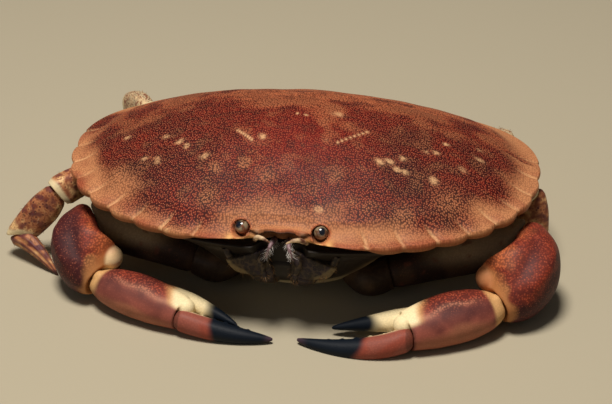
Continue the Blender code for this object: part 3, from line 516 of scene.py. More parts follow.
# Lower shell: the pale underside, from the rim down to the breastplate between the legs, with the short
# first joints of the limbs on it. The flap of the abdomen lies folded in a hollow along its middle.
UNDER_RINGS = (  # shares of the rim's width, front reach and rear reach, then the height
    (0.965, 0.955, 0.955, 32.7),
    (0.915, 0.940, 0.930, 31.4),
    (0.790, 0.915, 0.890, 29.0),
    (0.600, 0.885, 0.855, 25.0),
    (0.470, 0.850, 0.825, 19.5),
    (0.430, 0.795, 0.800, 16.0),
    (0.400, 0.690, 0.770, 12.0),
    (0.330, 0.560, 0.690, 6.0),
    (0.220, 0.440, 0.500, 3.0),
)
UNDER_STATIONS, UNDER_STEPS = 200, 70
PLATE_EDGES = (-26.0, -15.5, -5.0, 6.0, 17.0, 27.0)  # furrows between the plates of the breast
ABDOMEN_LINE = (  # y, z, half width
    (42.2, 26.0, 8.0),
    (43.2, 20.0, 10.5),
    (41.0, 11.5, 14.0),
    (35.0, 4.6, 16.5),
    (26.0, 1.35, 18.0),
    (14.0, 1.3, 18.0),
    (2.0, 1.3, 15.5),
    (-8.0, 1.4, 11.5),
    (-15.0, 2.8, 5.0),
)
ABDOMEN_THICK = 1.5
ABDOMEN_JOINTS = (0.17, 0.31, 0.44, 0.57, 0.70, 0.83)
CREAM, BONE, TAN = colour(226, 208, 164), colour(206, 192, 152), colour(176, 146, 104)
BROWN_SPOT, MOUTH_SHADE, DRAB_AND_SHADE = colour(104, 60, 44), colour(24, 18, 16), colour(92, 68, 48)
UNDER_DOT, UNDER_NET = colour(150, 104, 72), colour(150, 124, 84)
FLAP_SIDES = 80


def flow(at, given, values):
    """Values between given ones on a smooth curve that never overshoots them."""
    given, values = np.asarray(given, float), np.asarray(values, float)
    if values.ndim == 2:
        return np.stack([flow(at, given, column) for column in values.T], -1)
    steps = np.diff(values) / np.diff(given)
    slopes = np.concatenate([steps[:1], np.zeros(len(steps) - 1), steps[-1:]])
    both = steps[:-1] * steps[1:] > 0
    slopes[1:-1][both] = 2 * steps[:-1][both] * steps[1:][both] / (steps[:-1] + steps[1:])[both]
    k = np.clip(np.searchsorted(given, at, side="right") - 1, 0, len(given) - 2)
    width = given[k + 1] - given[k]
    t = (at - given[k]) / width
    return ((1 + 2 * t) * (1 - t) ** 2 * values[k] + t * (1 - t) ** 2 * width * slopes[k]
            + t * t * (3 - 2 * t) * values[k + 1] + t * t * (t - 1) * width * slopes[k + 1])


CORNER_REACH = 2.2  # how far a piece may reach past its joint on the outside of a bend


def tube(path, sizes, broadside, sides, power=2.0, face_in=None, face_out=None, cut_back=40.0):
    """Rings round a path, as an array of rings by sides by place. sizes are half heights, and half widths
    along broadside. A ring at an end lies in the plane whose normal is face_in or face_out, but is nowhere
    cut back further than cut_back, and those between lean over gradually."""
    path, broadside = np.asarray(path, float), np.asarray(broadside, float)
    along = np.concatenate([[0], np.cumsum(np.linalg.norm(np.diff(path, axis=0), axis=1))])
    along /= along[-1]
    forward = unit(np.gradient(path, axis=0))
    across = unit(broadside - forward * (forward @ broadside)[:, None])
    frames = np.stack([across, np.cross(across, forward), forward], 1)
    turns = 2 * math.pi * np.arange(sides) / sides
    shape = np.stack([np.cos(turns), np.sin(turns)], 1)
    shape = np.copysign(np.abs(shape) ** (2 / power), shape)
    flat = shape[None] * np.asarray(sizes, float)[:, None, ::-1]
    shift = np.zeros(flat.shape[:2])
    for normal, axes, weights, way in ((face_in, frames[0], 1 - along, -1), (face_out, frames[-1], along, 1)):
        if normal is not None:
            slopes = -axes @ normal / (axes[2] @ normal)
            reach = way * (flat @ slopes[:2])
            limit = np.where(reach > 0, CORNER_REACH, cut_back)
            reach = limit * np.tanh(reach / limit)
            shift += way * reach * weights[:, None]
    return path[:, None] + np.einsum("rsk,rkc->rsc", np.concatenate([flat, shift[..., None]], -1), frames)


def outwards_of(rings):
    """The outward direction at each point of a tube."""
    around = np.roll(rings, -1, 1) - np.roll(rings, 1, 1)
    ahead = np.gradient(rings, axis=0)
    normal = np.cross(around, ahead)
    middle = rings.mean(1, keepdims=True)
    turned = np.sign((normal * (rings - middle)).sum((1, 2)))[:, None, None]
    return unit(normal) * turned


def closed(rings, start=((0.6, 0.0),), end=((0.6, 0.0),)):
    """Points and faces of a tube with both ends closed. start and end are further rings as shares of the
    end ring, and how far out they stand beyond it."""
    first, last = rings[0], rings[-1]
    ahead = (rings[0].mean(0) - rings[1].mean(0), rings[-1].mean(0) - rings[-2].mean(0))
    caps = []
    for ring, steps, way in ((first, start, unit(ahead[0])), (last, end, unit(ahead[1]))):
        middle = ring.mean(0)
        caps.append([middle + (ring - middle) * scale + way * out for scale, out in steps])
    stack = np.concatenate([np.array(caps[0])[::-1], rings, np.array(caps[1])])
    count = stack.shape[1]
    tips = [stack[0].mean(0), stack[-1].mean(0)]
    points = np.concatenate([stack.reshape(-1, 3), tips])
    faces = grid_faces(len(stack), count).tolist()
    total, step = len(stack) * count, np.arange(count)
    after = (step + 1) % count
    faces += np.stack([np.full(count, total), after, step], 1).tolist()
    faces += np.stack([np.full(count, total + 1), total - count + step, total - count + after], 1).tolist()
    return points, faces, len(caps[0])


def face_out(made):
    """Turns the faces of a closed mesh outwards."""
    shape = bmesh.new()
    shape.from_mesh(made.data)
    bmesh.ops.recalc_face_normals(shape, faces=shape.faces)
    shape.to_mesh(made.data)
    shape.free()
    return made


def stand_in_for(made, node):
    face_out(made)
    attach(made, "root")
    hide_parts(node)
    return made


def fused(name, pieces, voxel, rounding):
    """One skin grown over several closed pieces that sink into each other, then eased."""
    host = pieces[0]
    shape = bmesh.new()
    for each in pieces:
        shape.from_mesh(each.data)
    shape.to_mesh(host.data)
    shape.free()
    regrow = host.modifiers.new("regrow", "REMESH")
    regrow.mode = "VOXEL"
    regrow.voxel_size = voxel * MM
    ease = host.modifiers.new("ease", "SMOOTH")
    ease.factor = 0.5
    ease.iterations = rounding
    graph = bpy.context.evaluated_depsgraph_get()
    skin = bpy.data.meshes.new_from_object(host.evaluated_get(graph))
    for each in pieces:
        bpy.data.objects.remove(each)
    points = np.zeros(len(skin.vertices) * 3)
    skin.vertices.foreach_get("co", points)
    faces = [tuple(polygon.vertices) for polygon in skin.polygons]
    return points.reshape(-1, 3) / MM, faces


plain = bpy.data.materials.new("plain")
under_grains = shell_look("cream_shell", grain=1.3, dot=UNDER_DOT, net=UNDER_NET, dot_share=(0.05, 0.22),
                          net_share=(0.42, 0.7), bump=0.30, roughness=0.46)
turn = 2 * math.pi * np.arange(UNDER_STATIONS) / UNDER_STATIONS
oval_x, oval_y = rim_outline(turn)
level = np.linspace(0, 1, UNDER_STEPS)
across, front, rear, height = flow(level, np.linspace(0, 1, len(UNDER_RINGS)), UNDER_RINGS).T
under = np.stack([oval_x * across[:, None],
                  oval_y * np.where(oval_y < 0, front[:, None], rear[:, None]),
                  np.repeat(height[:, None], UNDER_STATIONS, 1)], -1)
normals = outwards_of(under)
under_x, under_y, under_z = under[..., 0], under[..., 1], under[..., 2]
low = 1 - smooth(13, 19, under_z)
furrow = np.zeros_like(under_x)
for plate_edge in PLATE_EDGES:
    furrow += spot(under_y - 0.16 * np.abs(under_x), plate_edge, 1.0)
furrow = furrow * low * smooth(10, 14, np.abs(under_x))
cheek = spot(under_z + 0.10 * np.abs(under_x), 31.5, 1.2) * (under_y < 0) * smooth(12, 20, np.abs(under_x))
under -= normals * (0.8 * furrow + 0.5 * cheek)[..., None]
behind_front = (np.abs(under_x) < HOLLOW_WIDE) & (under_z > 25) & (under[..., 1] < HOLLOW_BACK)
under[..., 1] = np.where(behind_front, HOLLOW_BACK, under[..., 1])
points, faces, _ = closed(under, ((0.97, 0.0), (0.6, 0.0)), ((0.7, -0.05), (0.35, -0.1)))
# the front face of the underside, round the mouth, is painted near black as shade
face = (smooth(-34, -42, points[:, 1]) * (1 - smooth(30, 48, np.abs(points[:, 0])))
        * smooth(8, 14, points[:, 2]))
tint = coated(
    BONE,
    (CREAM, np.clip(0.5 + 0.5 * mottle(points, 12, 21), 0, 1)),
    (TAN, 0.5 * smooth(0.2, 1.2, mottle(points, 7, 22))),
    # the front of the underside darker: partly its brown, hairy flank, partly painted shade
    (DRAB_AND_SHADE, 0.7 * smooth(-6, -30, points[:, 1]) * smooth(6, 14, points[:, 2])),
    (BROWN_SPOT, 0.55 * smooth(1.55, 2.0, mottle(points, 3.0, 23)) * smooth(18, 26, points[:, 2])),
    (MOUTH_SHADE, 0.97 * face),
)
grain = 0.5 * smooth(14, 24, points[:, 2]) * (1 - face)
lower_shell = piece("underside_shell", points, faces, under_grains, Tint=tint, Grain=grain)
stand_in_for(lower_shell, "underside")

# each share of the flap's length runs from its root to its tip
line = np.array(ABDOMEN_LINE)
steps = np.linspace(0, 1, 150)
knots = np.concatenate([[0], np.cumsum(np.linalg.norm(np.diff(line[:, :2], axis=0), axis=1))])
knots /= knots[-1]
along, height, wide = flow(steps, knots, line).T
joint_at = sum(spot(steps, joint, 0.007) for joint in ABDOMEN_JOINTS)
wide *= 1 - 0.07 * joint_at
rings = tube(np.stack([0 * along, along, height], -1),
             np.stack([ABDOMEN_THICK * (1 - 0.45 * joint_at), wide], -1), (1, 0, 0), FLAP_SIDES, 3.0)
normals = outwards_of(rings)
sideways = rings[..., 0] / wide[:, None]
ridge = spot(sideways, 0, 0.30) - 0.8 * spot(np.abs(sideways), 0.55, 0.12)
rings = rings + normals * (0.35 * ridge * (rings[..., 2] > 2.2) * (1 - joint_at[:, None]))[..., None]
points, faces, extra = closed(rings, ((0.8, 0.1), (0.4, 0.1)), ((0.85, 0.5), (0.5, 0.9)))
points[:, 2] = np.maximum(points[:, 2], 0)
at_joint = np.zeros(len(points))
first = extra * FLAP_SIDES
at_joint[first:first + len(steps) * FLAP_SIDES] = np.repeat(joint_at, FLAP_SIDES)
tint = coated(
    CREAM,
    (TAN, 0.6 * smooth(-0.6, 1.5, mottle(points, 6, 31))),
    (TAN, 0.6 * smooth(7, 17, np.abs(points[:, 0]))),
    (BROWN_SPOT, 0.45 * smooth(1.0, 2.0, mottle(points, 2.6, 32)) * smooth(3, 10, points[:, 2])),
    (DRAB_AND_SHADE, 0.75 * at_joint),
)
flap = piece("abdomen_flap", points, faces, under_grains, Tint=tint, Grain=np.full(len(points), 0.3))
stand_in_for(flap, "abdomen")


# Eyes: a glossy dark cornea on a pale, mottled ball, carried by a short stalk out of the back of its orbit.
# Each is cast as one piece and looks a little forward and out.
# where each eye looks and where its red fleck is
EYE_LOOKS = {"right": (-0.47, -0.51, 0.72), "left": (0.29, -0.71, 0.65)}
EYE_FLECKS = {"right": (0.18, -0.78, 0.59), "left": (-0.21, -0.80, 0.56)}
STALK_RADIUS, STALK_LENGTH = 2.2, 4.4
EYE_BALL, EYE_MARBLE, EYE_ROOT = colour(140, 122, 96), colour(98, 68, 46), colour(134, 74, 50)
CORNEA, CORNEA_RING, EYE_FLECK = colour(12, 16, 28), colour(70, 46, 34), colour(140, 52, 36)
eye_look, eye_tree, eye_shader = new_look("eye", Coat_Weight=1.0, Coat_Roughness=0.04)
eye_place = node(eye_tree, "ShaderNodeTexCoord").outputs["Object"]
eye_facets = node(eye_tree, "ShaderNodeTexVoronoi", Vector=eye_place, Scale=4000.0).outputs["Distance"]
eye_rise = node(eye_tree, "ShaderNodeBump", Strength=0.15, Distance=0.03 * MM, Height=eye_facets)
eye_tint = node(eye_tree, "ShaderNodeAttribute", {"attribute_name": "Tint"})
feed(eye_shader, Base_Color=eye_tint.outputs["Color"],
     Roughness=ranged(eye_tree, eye_facets, least=0.12, most=0.34), Normal=eye_rise.outputs["Normal"])
for side, sign in SIDES.items():
    centre = np.array([EYE_CENTRE[0] * sign, *EYE_CENTRE[1:]])
    look = unit(EYE_LOOKS[side])
    angles = np.radians(np.linspace(-28, 88, 44))
    reach = np.concatenate([np.linspace(-STALK_LENGTH, -EYE_RADIUS * 0.55, 10), EYE_RADIUS * np.sin(angles)])
    girth = np.concatenate([np.full(10, STALK_RADIUS), EYE_RADIUS * np.cos(angles)])
    rings = tube(centre + look * reach[:, None], np.stack([girth, girth], -1), (0, 0, 1), 56)
    points, faces, _ = closed(rings, ((0.5, 0.1),), ((0.5, 0.003),))
    off = points - centre
    facing = np.degrees(np.arccos(np.clip(unit(off) @ look, -1, 1)))
    ripple = mottle(points, 1.1, 41)
    beside = np.degrees(np.arccos(np.clip(unit(off) @ unit(EYE_FLECKS[side]), -1, 1)))
    tint = coated(
        EYE_BALL,
        (EYE_MARBLE, smooth(0.0, 0.9, ripple)),
        (EYE_ROOT, smooth(58, 100, facing + 8 * ripple)),
        (CORNEA, 1 - smooth(25, 31, facing + 3 * ripple)),
        (CORNEA_RING, 0.8 * spot(facing, 34, 4)),
        (EYE_FLECK, 0.8 * (1 - smooth(5, 12, beside + 3 * ripple)) * smooth(28, 34, facing)),
    )
    eye = piece(f"eye_ball_{side}", points, faces, eye_look, Tint=tint)
    stand_in_for(eye, f"eye_{side}")


# Feelers: a short jointed pair of antennae beside the mouth hollow, and a bent pair of antennules in it
# whose tips carry a tuft of long white hairs. Each is a ringed rod of horn set in its socket.
# x, y, z, radius
ANTENNA_LINE = ((8.3, -51.2, 34.4, 1.0), (7.5, -54.0, 36.6, 1.0), (6.3, -55.9, 38.1, 0.9),
                (5.0, -56.8, 38.4, 0.75), (3.8, -57.0, 37.9, 0.5), (2.6, -56.9, 37.1, 0.3))
ANTENNULE_LINE = ((2.3, -48.2, 33.4, 1.1), (2.5, -51.0, 34.0, 1.15), (2.8, -53.2, 34.2, 0.85),
                  (3.3, -54.6, 33.2, 0.7), (3.9, -55.0, 31.4, 0.5), (4.5, -54.8, 29.6, 0.3))
FEELER_RINGS, FEELER_RIPPLE = 14, 0.10
HORN_TONES = colour(104, 62, 48), colour(206, 176, 138)
DUSKY_TONES = colour(52, 36, 40), colour(128, 100, 104)


def tree_of(name, numbers):
    """An empty geometry tree with a mesh coming in and going out, and named number inputs."""
    tree = bpy.data.node_groups.new(name, "GeometryNodeTree")
    tree.interface.new_socket("Geometry", in_out="INPUT", socket_type="NodeSocketGeometry")
    for label, kind in numbers.items():
        tree.interface.new_socket(label, in_out="INPUT", socket_type=f"NodeSocket{kind}")
    tree.interface.new_socket("Geometry", in_out="OUTPUT", socket_type="NodeSocketGeometry")
    return tree, tree.nodes.new("NodeGroupInput"), tree.nodes.new("NodeGroupOutput")


def grown(base, tree, name, **values):
    """The mesh that a tree makes of base, as a plain object. base is used up."""
    modifier = base.modifiers.new("grow", "NODES")
    modifier.node_group = tree
    sockets = {item.name: item.identifier for item in tree.interface.items_tree if item.in_out == "INPUT"}
    for label, value in values.items():
        modifier[sockets[label.replace("_", " ")]] = value
    graph = bpy.context.evaluated_depsgraph_get()
    mesh = bpy.data.meshes.new_from_object(base.evaluated_get(graph))
    bpy.data.objects.remove(base)
    mesh.name = name
    return put_in_scene(name, mesh)


def clouded_look(name, tones, scale, between, roughness, bump, rise):
    """Horn in two tones that run into each other in soft clouds. between is where in the noise they meet."""
    look, tree, shader = new_look(name)
    place = node(tree, "ShaderNodeTexCoord").outputs["Object"]
    cloud = node(tree, "ShaderNodeTexNoise", Vector=place, Scale=scale).outputs["Fac"]
    ramp = node(tree, "ShaderNodeValToRGB", Fac=cloud)
    for element, meeting, tone in zip(ramp.color_ramp.elements, between, tones):
        element.position, element.color = meeting, (*tone, 1)
    relief = node(tree, "ShaderNodeBump", Strength=bump, Distance=rise * MM, Height=cloud)
    feed(shader, Base_Color=ramp.outputs["Color"], Normal=relief.outputs["Normal"],
         Roughness=ranged(tree, cloud, least=roughness[0], most=roughness[1]))
    return look


feeler_look, dusky_feeler = (clouded_look(name, tones, scale=420.0, between=(0.38, 0.58),
                                          roughness=(0.35, 0.6), bump=0.3, rise=0.05)
                             for name, tones in (("feeler", HORN_TONES), ("dusky_feeler", DUSKY_TONES)))

rod_tree, rod_in, rod_out = tree_of("ringed_rod", {"Rings": "Float", "Ripple": "Float", "Look": "Material"})
spine = node(rod_tree, "GeometryNodeMeshToCurve", Mesh=rod_in.outputs["Geometry"])
along = node(rod_tree, "GeometryNodeSplineParameter")
girth = node(rod_tree, "GeometryNodeInputNamedAttribute", {"data_type": "FLOAT"}, Name="Girth")
phase = node(rod_tree, "ShaderNodeMath", {"operation": "MULTIPLY"}, _0=along.outputs["Factor"],
             _1=rod_in.outputs["Rings"])
wave = node(rod_tree, "ShaderNodeMath", {"operation": "PINGPONG"}, _0=phase.outputs[0], _1=0.5)
swell = node(rod_tree, "ShaderNodeMath", {"operation": "MULTIPLY_ADD"}, _0=wave.outputs[0],
             _1=rod_in.outputs["Ripple"], _2=1.0)
scale = node(rod_tree, "ShaderNodeMath", {"operation": "MULTIPLY"}, _0=girth.outputs[0], _1=swell.outputs[0])
disc = node(rod_tree, "GeometryNodeCurvePrimitiveCircle", Resolution=20, Radius=1.0)
rod = node(rod_tree, "GeometryNodeCurveToMesh", Curve=spine.outputs["Curve"],
           Profile_Curve=disc.outputs["Curve"], Fill_Caps=True, Scale=scale.outputs[0])
eased = node(rod_tree, "GeometryNodeSetShadeSmooth", Geometry=rod.outputs["Mesh"])
solid = node(rod_tree, "GeometryNodeRealizeInstances", Geometry=eased.outputs["Geometry"])
painted = node(rod_tree, "GeometryNodeSetMaterial", Geometry=solid.outputs["Geometry"],
               Material=rod_in.outputs["Look"])
rod_tree.links.new(painted.outputs["Geometry"], rod_out.inputs["Geometry"])


def spine_of(name, points, girths):
    """A chain of edges that carries a rod's radius, in metres, at each point."""
    mesh = bpy.data.meshes.new(name)
    mesh.from_pydata((points * MM).tolist(), [(k, k + 1) for k in range(len(points) - 1)], [])
    mesh.attributes.new("Girth", "FLOAT", "POINT").data.foreach_set("value", np.asarray(girths) * MM)
    return put_in_scene(name, mesh)


tuft_fur = []
for kind, given in (("antenna", ANTENNA_LINE), ("antennule", ANTENNULE_LINE)):
    for side, sign in SIDES.items():
        line = flow(np.linspace(0, 1, 60), np.linspace(0, 1, len(given)), given) * (sign, 1, 1, 0.8)
        rod = grown(spine_of("spine", line[:, :3], line[:, 3]), rod_tree, f"{kind}_rod_{side}",
                    Rings=float(FEELER_RINGS), Ripple=FEELER_RIPPLE,
                    Look=feeler_look if kind == "antenna" else dusky_feeler)
        stand_in_for(rod, f"{kind}_{side}")
        if kind == "antennule":
            points = np.array([v.co for v in rod.data.vertices]) / MM
            faces = [list(polygon.vertices) for polygon in rod.data.polygons]
            lean = np.array([0.2 * sign, -0.6, -0.5])
            tuft_fur.append((points, faces, spot(points[:, 2], 32.0, 1.5), lean))


# Outer jaws: two hinged plates of shell that close over the mouth, each with a slender outer branch and
# a small jointed palp at its top. All are painted near black as shade, and the plates are pale only along
# their lower, outer edges.
JAW_LINE = (  # x, y, z, half width
    (11.1, -51.2, 28.6, 7.5),
    (9.7, -50.9, 25.4, 7.0),
    (7.2, -49.6, 21.6, 4.6),
    (6.2, -46.6, 17.2, 3.6),
    (5.8, -41.8, 13.6, 3.2),
    (5.6, -36.6, 10.6, 2.8),
)
JAW_THICK, PALP_NECK = 1.5, 0.22
JAW_BRANCH = ((18.2, -50.6, 30.0), (16.8, -50.6, 27.0), (14.4, -50.2, 23.8), (11.2, -48.6, 20.0),
              (9.9, -44.6, 15.6))
PALP = ((5.2, -52.8, 29.6), (6.2, -54.2, 27.6), (5.4, -54.4, 24.8), (4.8, -53.8, 22.4), (5.4, -53.2, 20.4))
JAW_SHADE, JAW_PURPLE, JAW_EDGE = colour(34, 27, 24), colour(36, 28, 40), colour(120, 104, 72)
mouth_fur = []
line = np.array(JAW_LINE)
steps = np.linspace(0, 1, 60)
line = flow(steps, np.linspace(0, 1, len(line)), line)
for side, sign in SIDES.items():
    path = line[:, :3] * (sign, 1, 1)
    thick = JAW_THICK * (1 - 0.5 * spot(steps, 0.44, 0.012))
    rings = tube(path, np.stack([thick, line[:, 3]], -1), (1, 0, 0), 56, 2.6)
    points, faces, _ = closed(rings, ((0.93, 0.25), (0.6, 0.4)), ((0.85, 0.3), (0.5, 0.5)))
    middle, half = (np.interp(-points[:, 2], -line[:, 2], line[:, k]) for k in (0, 3))
    outer = (points[:, 0] * sign - middle) / half
    # each plate is painted near black as shade, darkest towards its lower end
    tint = coated(
        JAW_SHADE,
        (JAW_PURPLE, smooth(-0.4, 1, mottle(points, 5, 51))),
        (JAW_EDGE, 0.75 * smooth(0.80, 0.97, outer + 0.05 * mottle(points, 3, 52))),
        (MOUTH_SHADE, 0.7 * (1 - smooth(14, 22, points[:, 2]))),
    )
    fringe = smooth(0.75, 0.95, -outer) + 0.5 * smooth(0.8, 0.95, outer)
    mouth_fur.append((points, faces, fringe * smooth(14, 18, points[:, 2]), np.array([0, -0.6, -0.8])))
    jaw = piece(f"jaw_plate_{side}", points, faces, under_grains, Tint=tint, Grain=np.full(len(points), 0.15))
    stand_in_for(jaw, f"jaw_{side}")
    for name, given, girth, broad in (("branch", JAW_BRANCH, (0.9, 1.0, 0.8, 0.6, 0.4), 1.2),
                                      ("palp", PALP, (1.15, 1.2, 1.05, 0.9, 0.45), 1.0)):
        share, knots = np.linspace(0, 1, 44), np.linspace(0, 1, len(given))
        size = flow(share, knots, girth)
        if name == "palp":
            size = size * (1 - PALP_NECK * sum(spot(share, k, 0.018) for k in knots[1:-1]))
        rings = tube(flow(share, knots, given) * (sign, 1, 1), np.stack([size, size * broad], -1),
                     (1, 0, 0), 24)
        points, faces, _ = closed(rings)
        # branch and palp painted near black as shade, like the plates
        tint = coated(JAW_SHADE, (JAW_PURPLE, 0.7 * smooth(-0.3, 0.9, mottle(points, 3, 53))))
        if name == "palp":
            hairy = 1.5 * (1 - smooth(21, 24, points[:, 2]))
            mouth_fur.append((points, faces, hairy, np.array([0, -0.5, -1.0])))
        part = face_out(piece(f"jaw_{name}_{side}", points, faces, under_grains, Tint=tint,
                              Grain=np.full(len(points), 0.15)))
        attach(part, "root")


# Claws: four pieces of shell a side, arm, wrist, palm and moving finger. The palm runs out into the fixed
# finger. Both fingers are black and hard at their tips, with blunt teeth along the bite.
CLAW_POINTS = {  # hip, elbow, wrist, end of the palm, tips of the moving and the fixed finger
    "right": ((33, -28, 10.5), (69.6, -22.8, 18.8), (62.9, -43.8, 8.7), (32.0, -55.2, 6.2), (1.7, -59.1, 1.6),
              (13.9, -55.1, 3.0)),
    "left": ((33, -28, 10.5), (76, -15.5, 20), (69.1, -40.1, 9.2), (41, -55.7, 6.8), (6.1, -57.9, 1.6),
             (16.5, -51.8, 3.0)),
}
CLAW_SIZE = {"right": 0.98, "left": 1.06}
CLAW_ROLL, WRIST_BOW, GAP, CLAW_POWER = 25.0, 3.2, 0.3, 2.3
# each profile: share of the length, half height, half width
CLAW_ARM = ((0, 4.6, 4.4), (.05, 5.2, 5.0), (.35, 6.0, 5.6), (.75, 7.0, 6.4), (.95, 7.0, 6.6), (1, 6.2, 5.8))
CLAW_WRIST = ((0, 6.8, 7.0), (.08, 8.0, 8.2), (.26, 11.0, 10.8), (.5, 12.4, 12.0), (.75, 10.8, 10.6),
              (.91, 7.8, 8.2), (1, 5.2, 5.6))
WRIST_TOOTH = (3.0, 6.6, 5.6, 4.2)
PALM = ((0, 4.4, 4.0), (.05, 5.4, 4.8), (.2, 7.2, 6.0), (.45, 8.2, 6.6), (.7, 7.8, 6.3), (.9, 6.8, 5.6),
        (1, 6.2, 5.1))
PALM_SIZE = {"right": 0.94, "left": 1.0}
FINGER = ((0, 3.2, 3.6), (.05, 3.7, 4.1), (.3, 3.6, 3.7), (.6, 3.0, 2.8), (.85, 1.8, 1.7), (.96, .95, .9),
          (1, .45, .45))
FINGER_ROOT, FINGER_BOW = 2.5, {"right": 1.3, "left": 3.8}
POLLEX = ((0, 4.2, 4.2), (.35, 3.7, 3.7), (.6, 2.7, 2.6), (.85, 1.5, 1.4), (.96, .85, .8), (1, .45, .45))
POLLEX_ROOT, POLLEX_DROP, POLLEX_BOW = 0.62, {"right": 2.9, "left": 1.4}, {"right": 1.5, "left": 0.4}
TOOTH_PLACES, TOOTH_RADII = (.20, .34, .47, .60, .72), (1.0, 1.3, 1.35, 1.15, .9)
BLACK_FROM = {"right": 0.33, "left": 0.41}
CLAW_RED, CLAW_MAROON, CLAW_ORANGE = colour(144, 58, 38), colour(58, 26, 30), colour(204, 112, 64)
CLAW_YELLOW, CLAW_TAN, ARM_CREAM = colour(226, 178, 116), colour(184, 126, 76), colour(150, 128, 98)
TOOTH_TONE = {"right": colour(248, 228, 180), "left": colour(206, 138, 92)}
CLAW_PINK, CLAW_CREAM, CLAW_BLACK, CLAW_TIP = (colour(144, 78, 64), colour(248, 228, 180), colour(9, 17, 27),
                                               colour(72, 52, 62))
PALM_HIGHLIGHT, BITE_TAN, JOINT_BROWN = colour(206, 142, 112), colour(170, 110, 80), colour(92, 52, 40)
ARM_SIDES, WRIST_SIDES, PALM_SIDES, POLLEX_SIDES, FINGER_SIDES = 64, 72, 72, 48, 56
WRIST_SKIN, PALM_SKIN, FINGER_SKIN = (0.42, 5), (0.36, 12), (0.26, 3)  # size of a voxel, rounds of easing
CLAW_DOT, CLAW_NET = colour(200, 110, 74), colour(54, 20, 22)


def ball(name, centre, size):
    shape = bmesh.new()
    bmesh.ops.create_uvsphere(shape, u_segments=20, v_segments=14, radius=1.0)
    points = np.array([v.co for v in shape.verts]) * size + centre
    faces = [[v.index for v in f.verts] for f in shape.faces]
    shape.free()
    return face_out(piece(name, points, faces, plain))


def segment(start, end, profile, scale=1.0, bow=(0, 0, 0), count=70):
    """The path and the sizes of a piece between two joints."""
    start, end, bow = (np.asarray(a, float) for a in (start, end, bow))
    share = np.linspace(0, 1, count)
    profile = np.array(profile)
    sizes = flow(share, profile[:, 0], profile[:, 1:]) * scale
    return start + (end - start) * share[:, None] + bow * (4 * share * (1 - share))[:, None], sizes


def joint_normals(points, bows):
    """The normal of the cut at each joint of a limb, halfway between the directions that meet there."""
    chords = [b - a for a, b in zip(points, points[1:])]
    leaving = [unit(chord + 4 * np.asarray(bow)) for chord, bow in zip(chords, bows)]
    arriving = [unit(chord - 4 * np.asarray(bow)) for chord, bow in zip(chords, bows)]
    return [leaving[0]] + [unit(a + b) for a, b in zip(arriving, leaving[1:])]


KNUCKLE = ((0.97, 0.25), (0.85, 0.7), (0.6, 1.1), (0.3, 1.3))
SOCKET = ((0.94, 0.0), (0.86, -0.5), (0.7, -1.0), (0.35, -1.2))
claw_grains = shell_look("claw_shell", grain=0.74, dot=CLAW_DOT, net=CLAW_NET, dot_share=(0.10, 0.30),
                         net_share=(0.34, 0.58), bump=0.50, roughness=0.54)


def toothed(path, sizes, inwards, scale):
    """Blunt teeth along the bite of a finger."""
    along = np.linspace(0, 1, len(path))
    made = []
    for place, radius in zip(TOOTH_PLACES, TOOTH_RADII):
        middle = np.array([np.interp(place, along, path[:, k]) for k in range(3)])
        depth = np.interp(place, along, sizes[:, 0])
        made.append(ball("tooth", middle + inwards * (depth - radius * scale * 0.5), radius * scale))
    return made


HIP_LENGTH, HIP_ROOT, HIP_SWELL = 7.0, (0.42, 0.45, 1.2), 1.12
HIP_SHADE = colour(52, 38, 30)


def hip_of(name, hip, cut, size, broadside, power=2.0):
    """The short first joint of a limb, grown out of the lower shell, with a flat face for the limb."""
    path = np.array([hip * HIP_ROOT, hip - cut * HIP_LENGTH, hip - cut * GAP / 2])
    size = np.array(size) * HIP_SWELL
    sizes = np.array([size * HIP_SWELL**2, size * HIP_SWELL, size])
    share = np.linspace(0, 1, 30)
    rings = tube(flow(share, (0, 0.55, 1), path), flow(share, (0, 0.55, 1), sizes), broadside, 48, power,
                 face_out=cut)
    points, faces, _ = closed(rings, end=SOCKET)
    # the hip is painted dark brown as the shade under the shell
    tint = coated(HIP_SHADE, (DRAB_AND_SHADE, 0.6 * smooth(0.0, 1.6, mottle(points, 5, 25))))
    stub = face_out(piece(name, points, faces, under_grains, Tint=tint, Grain=np.full(len(points), 0.05)))
    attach(stub, "root")


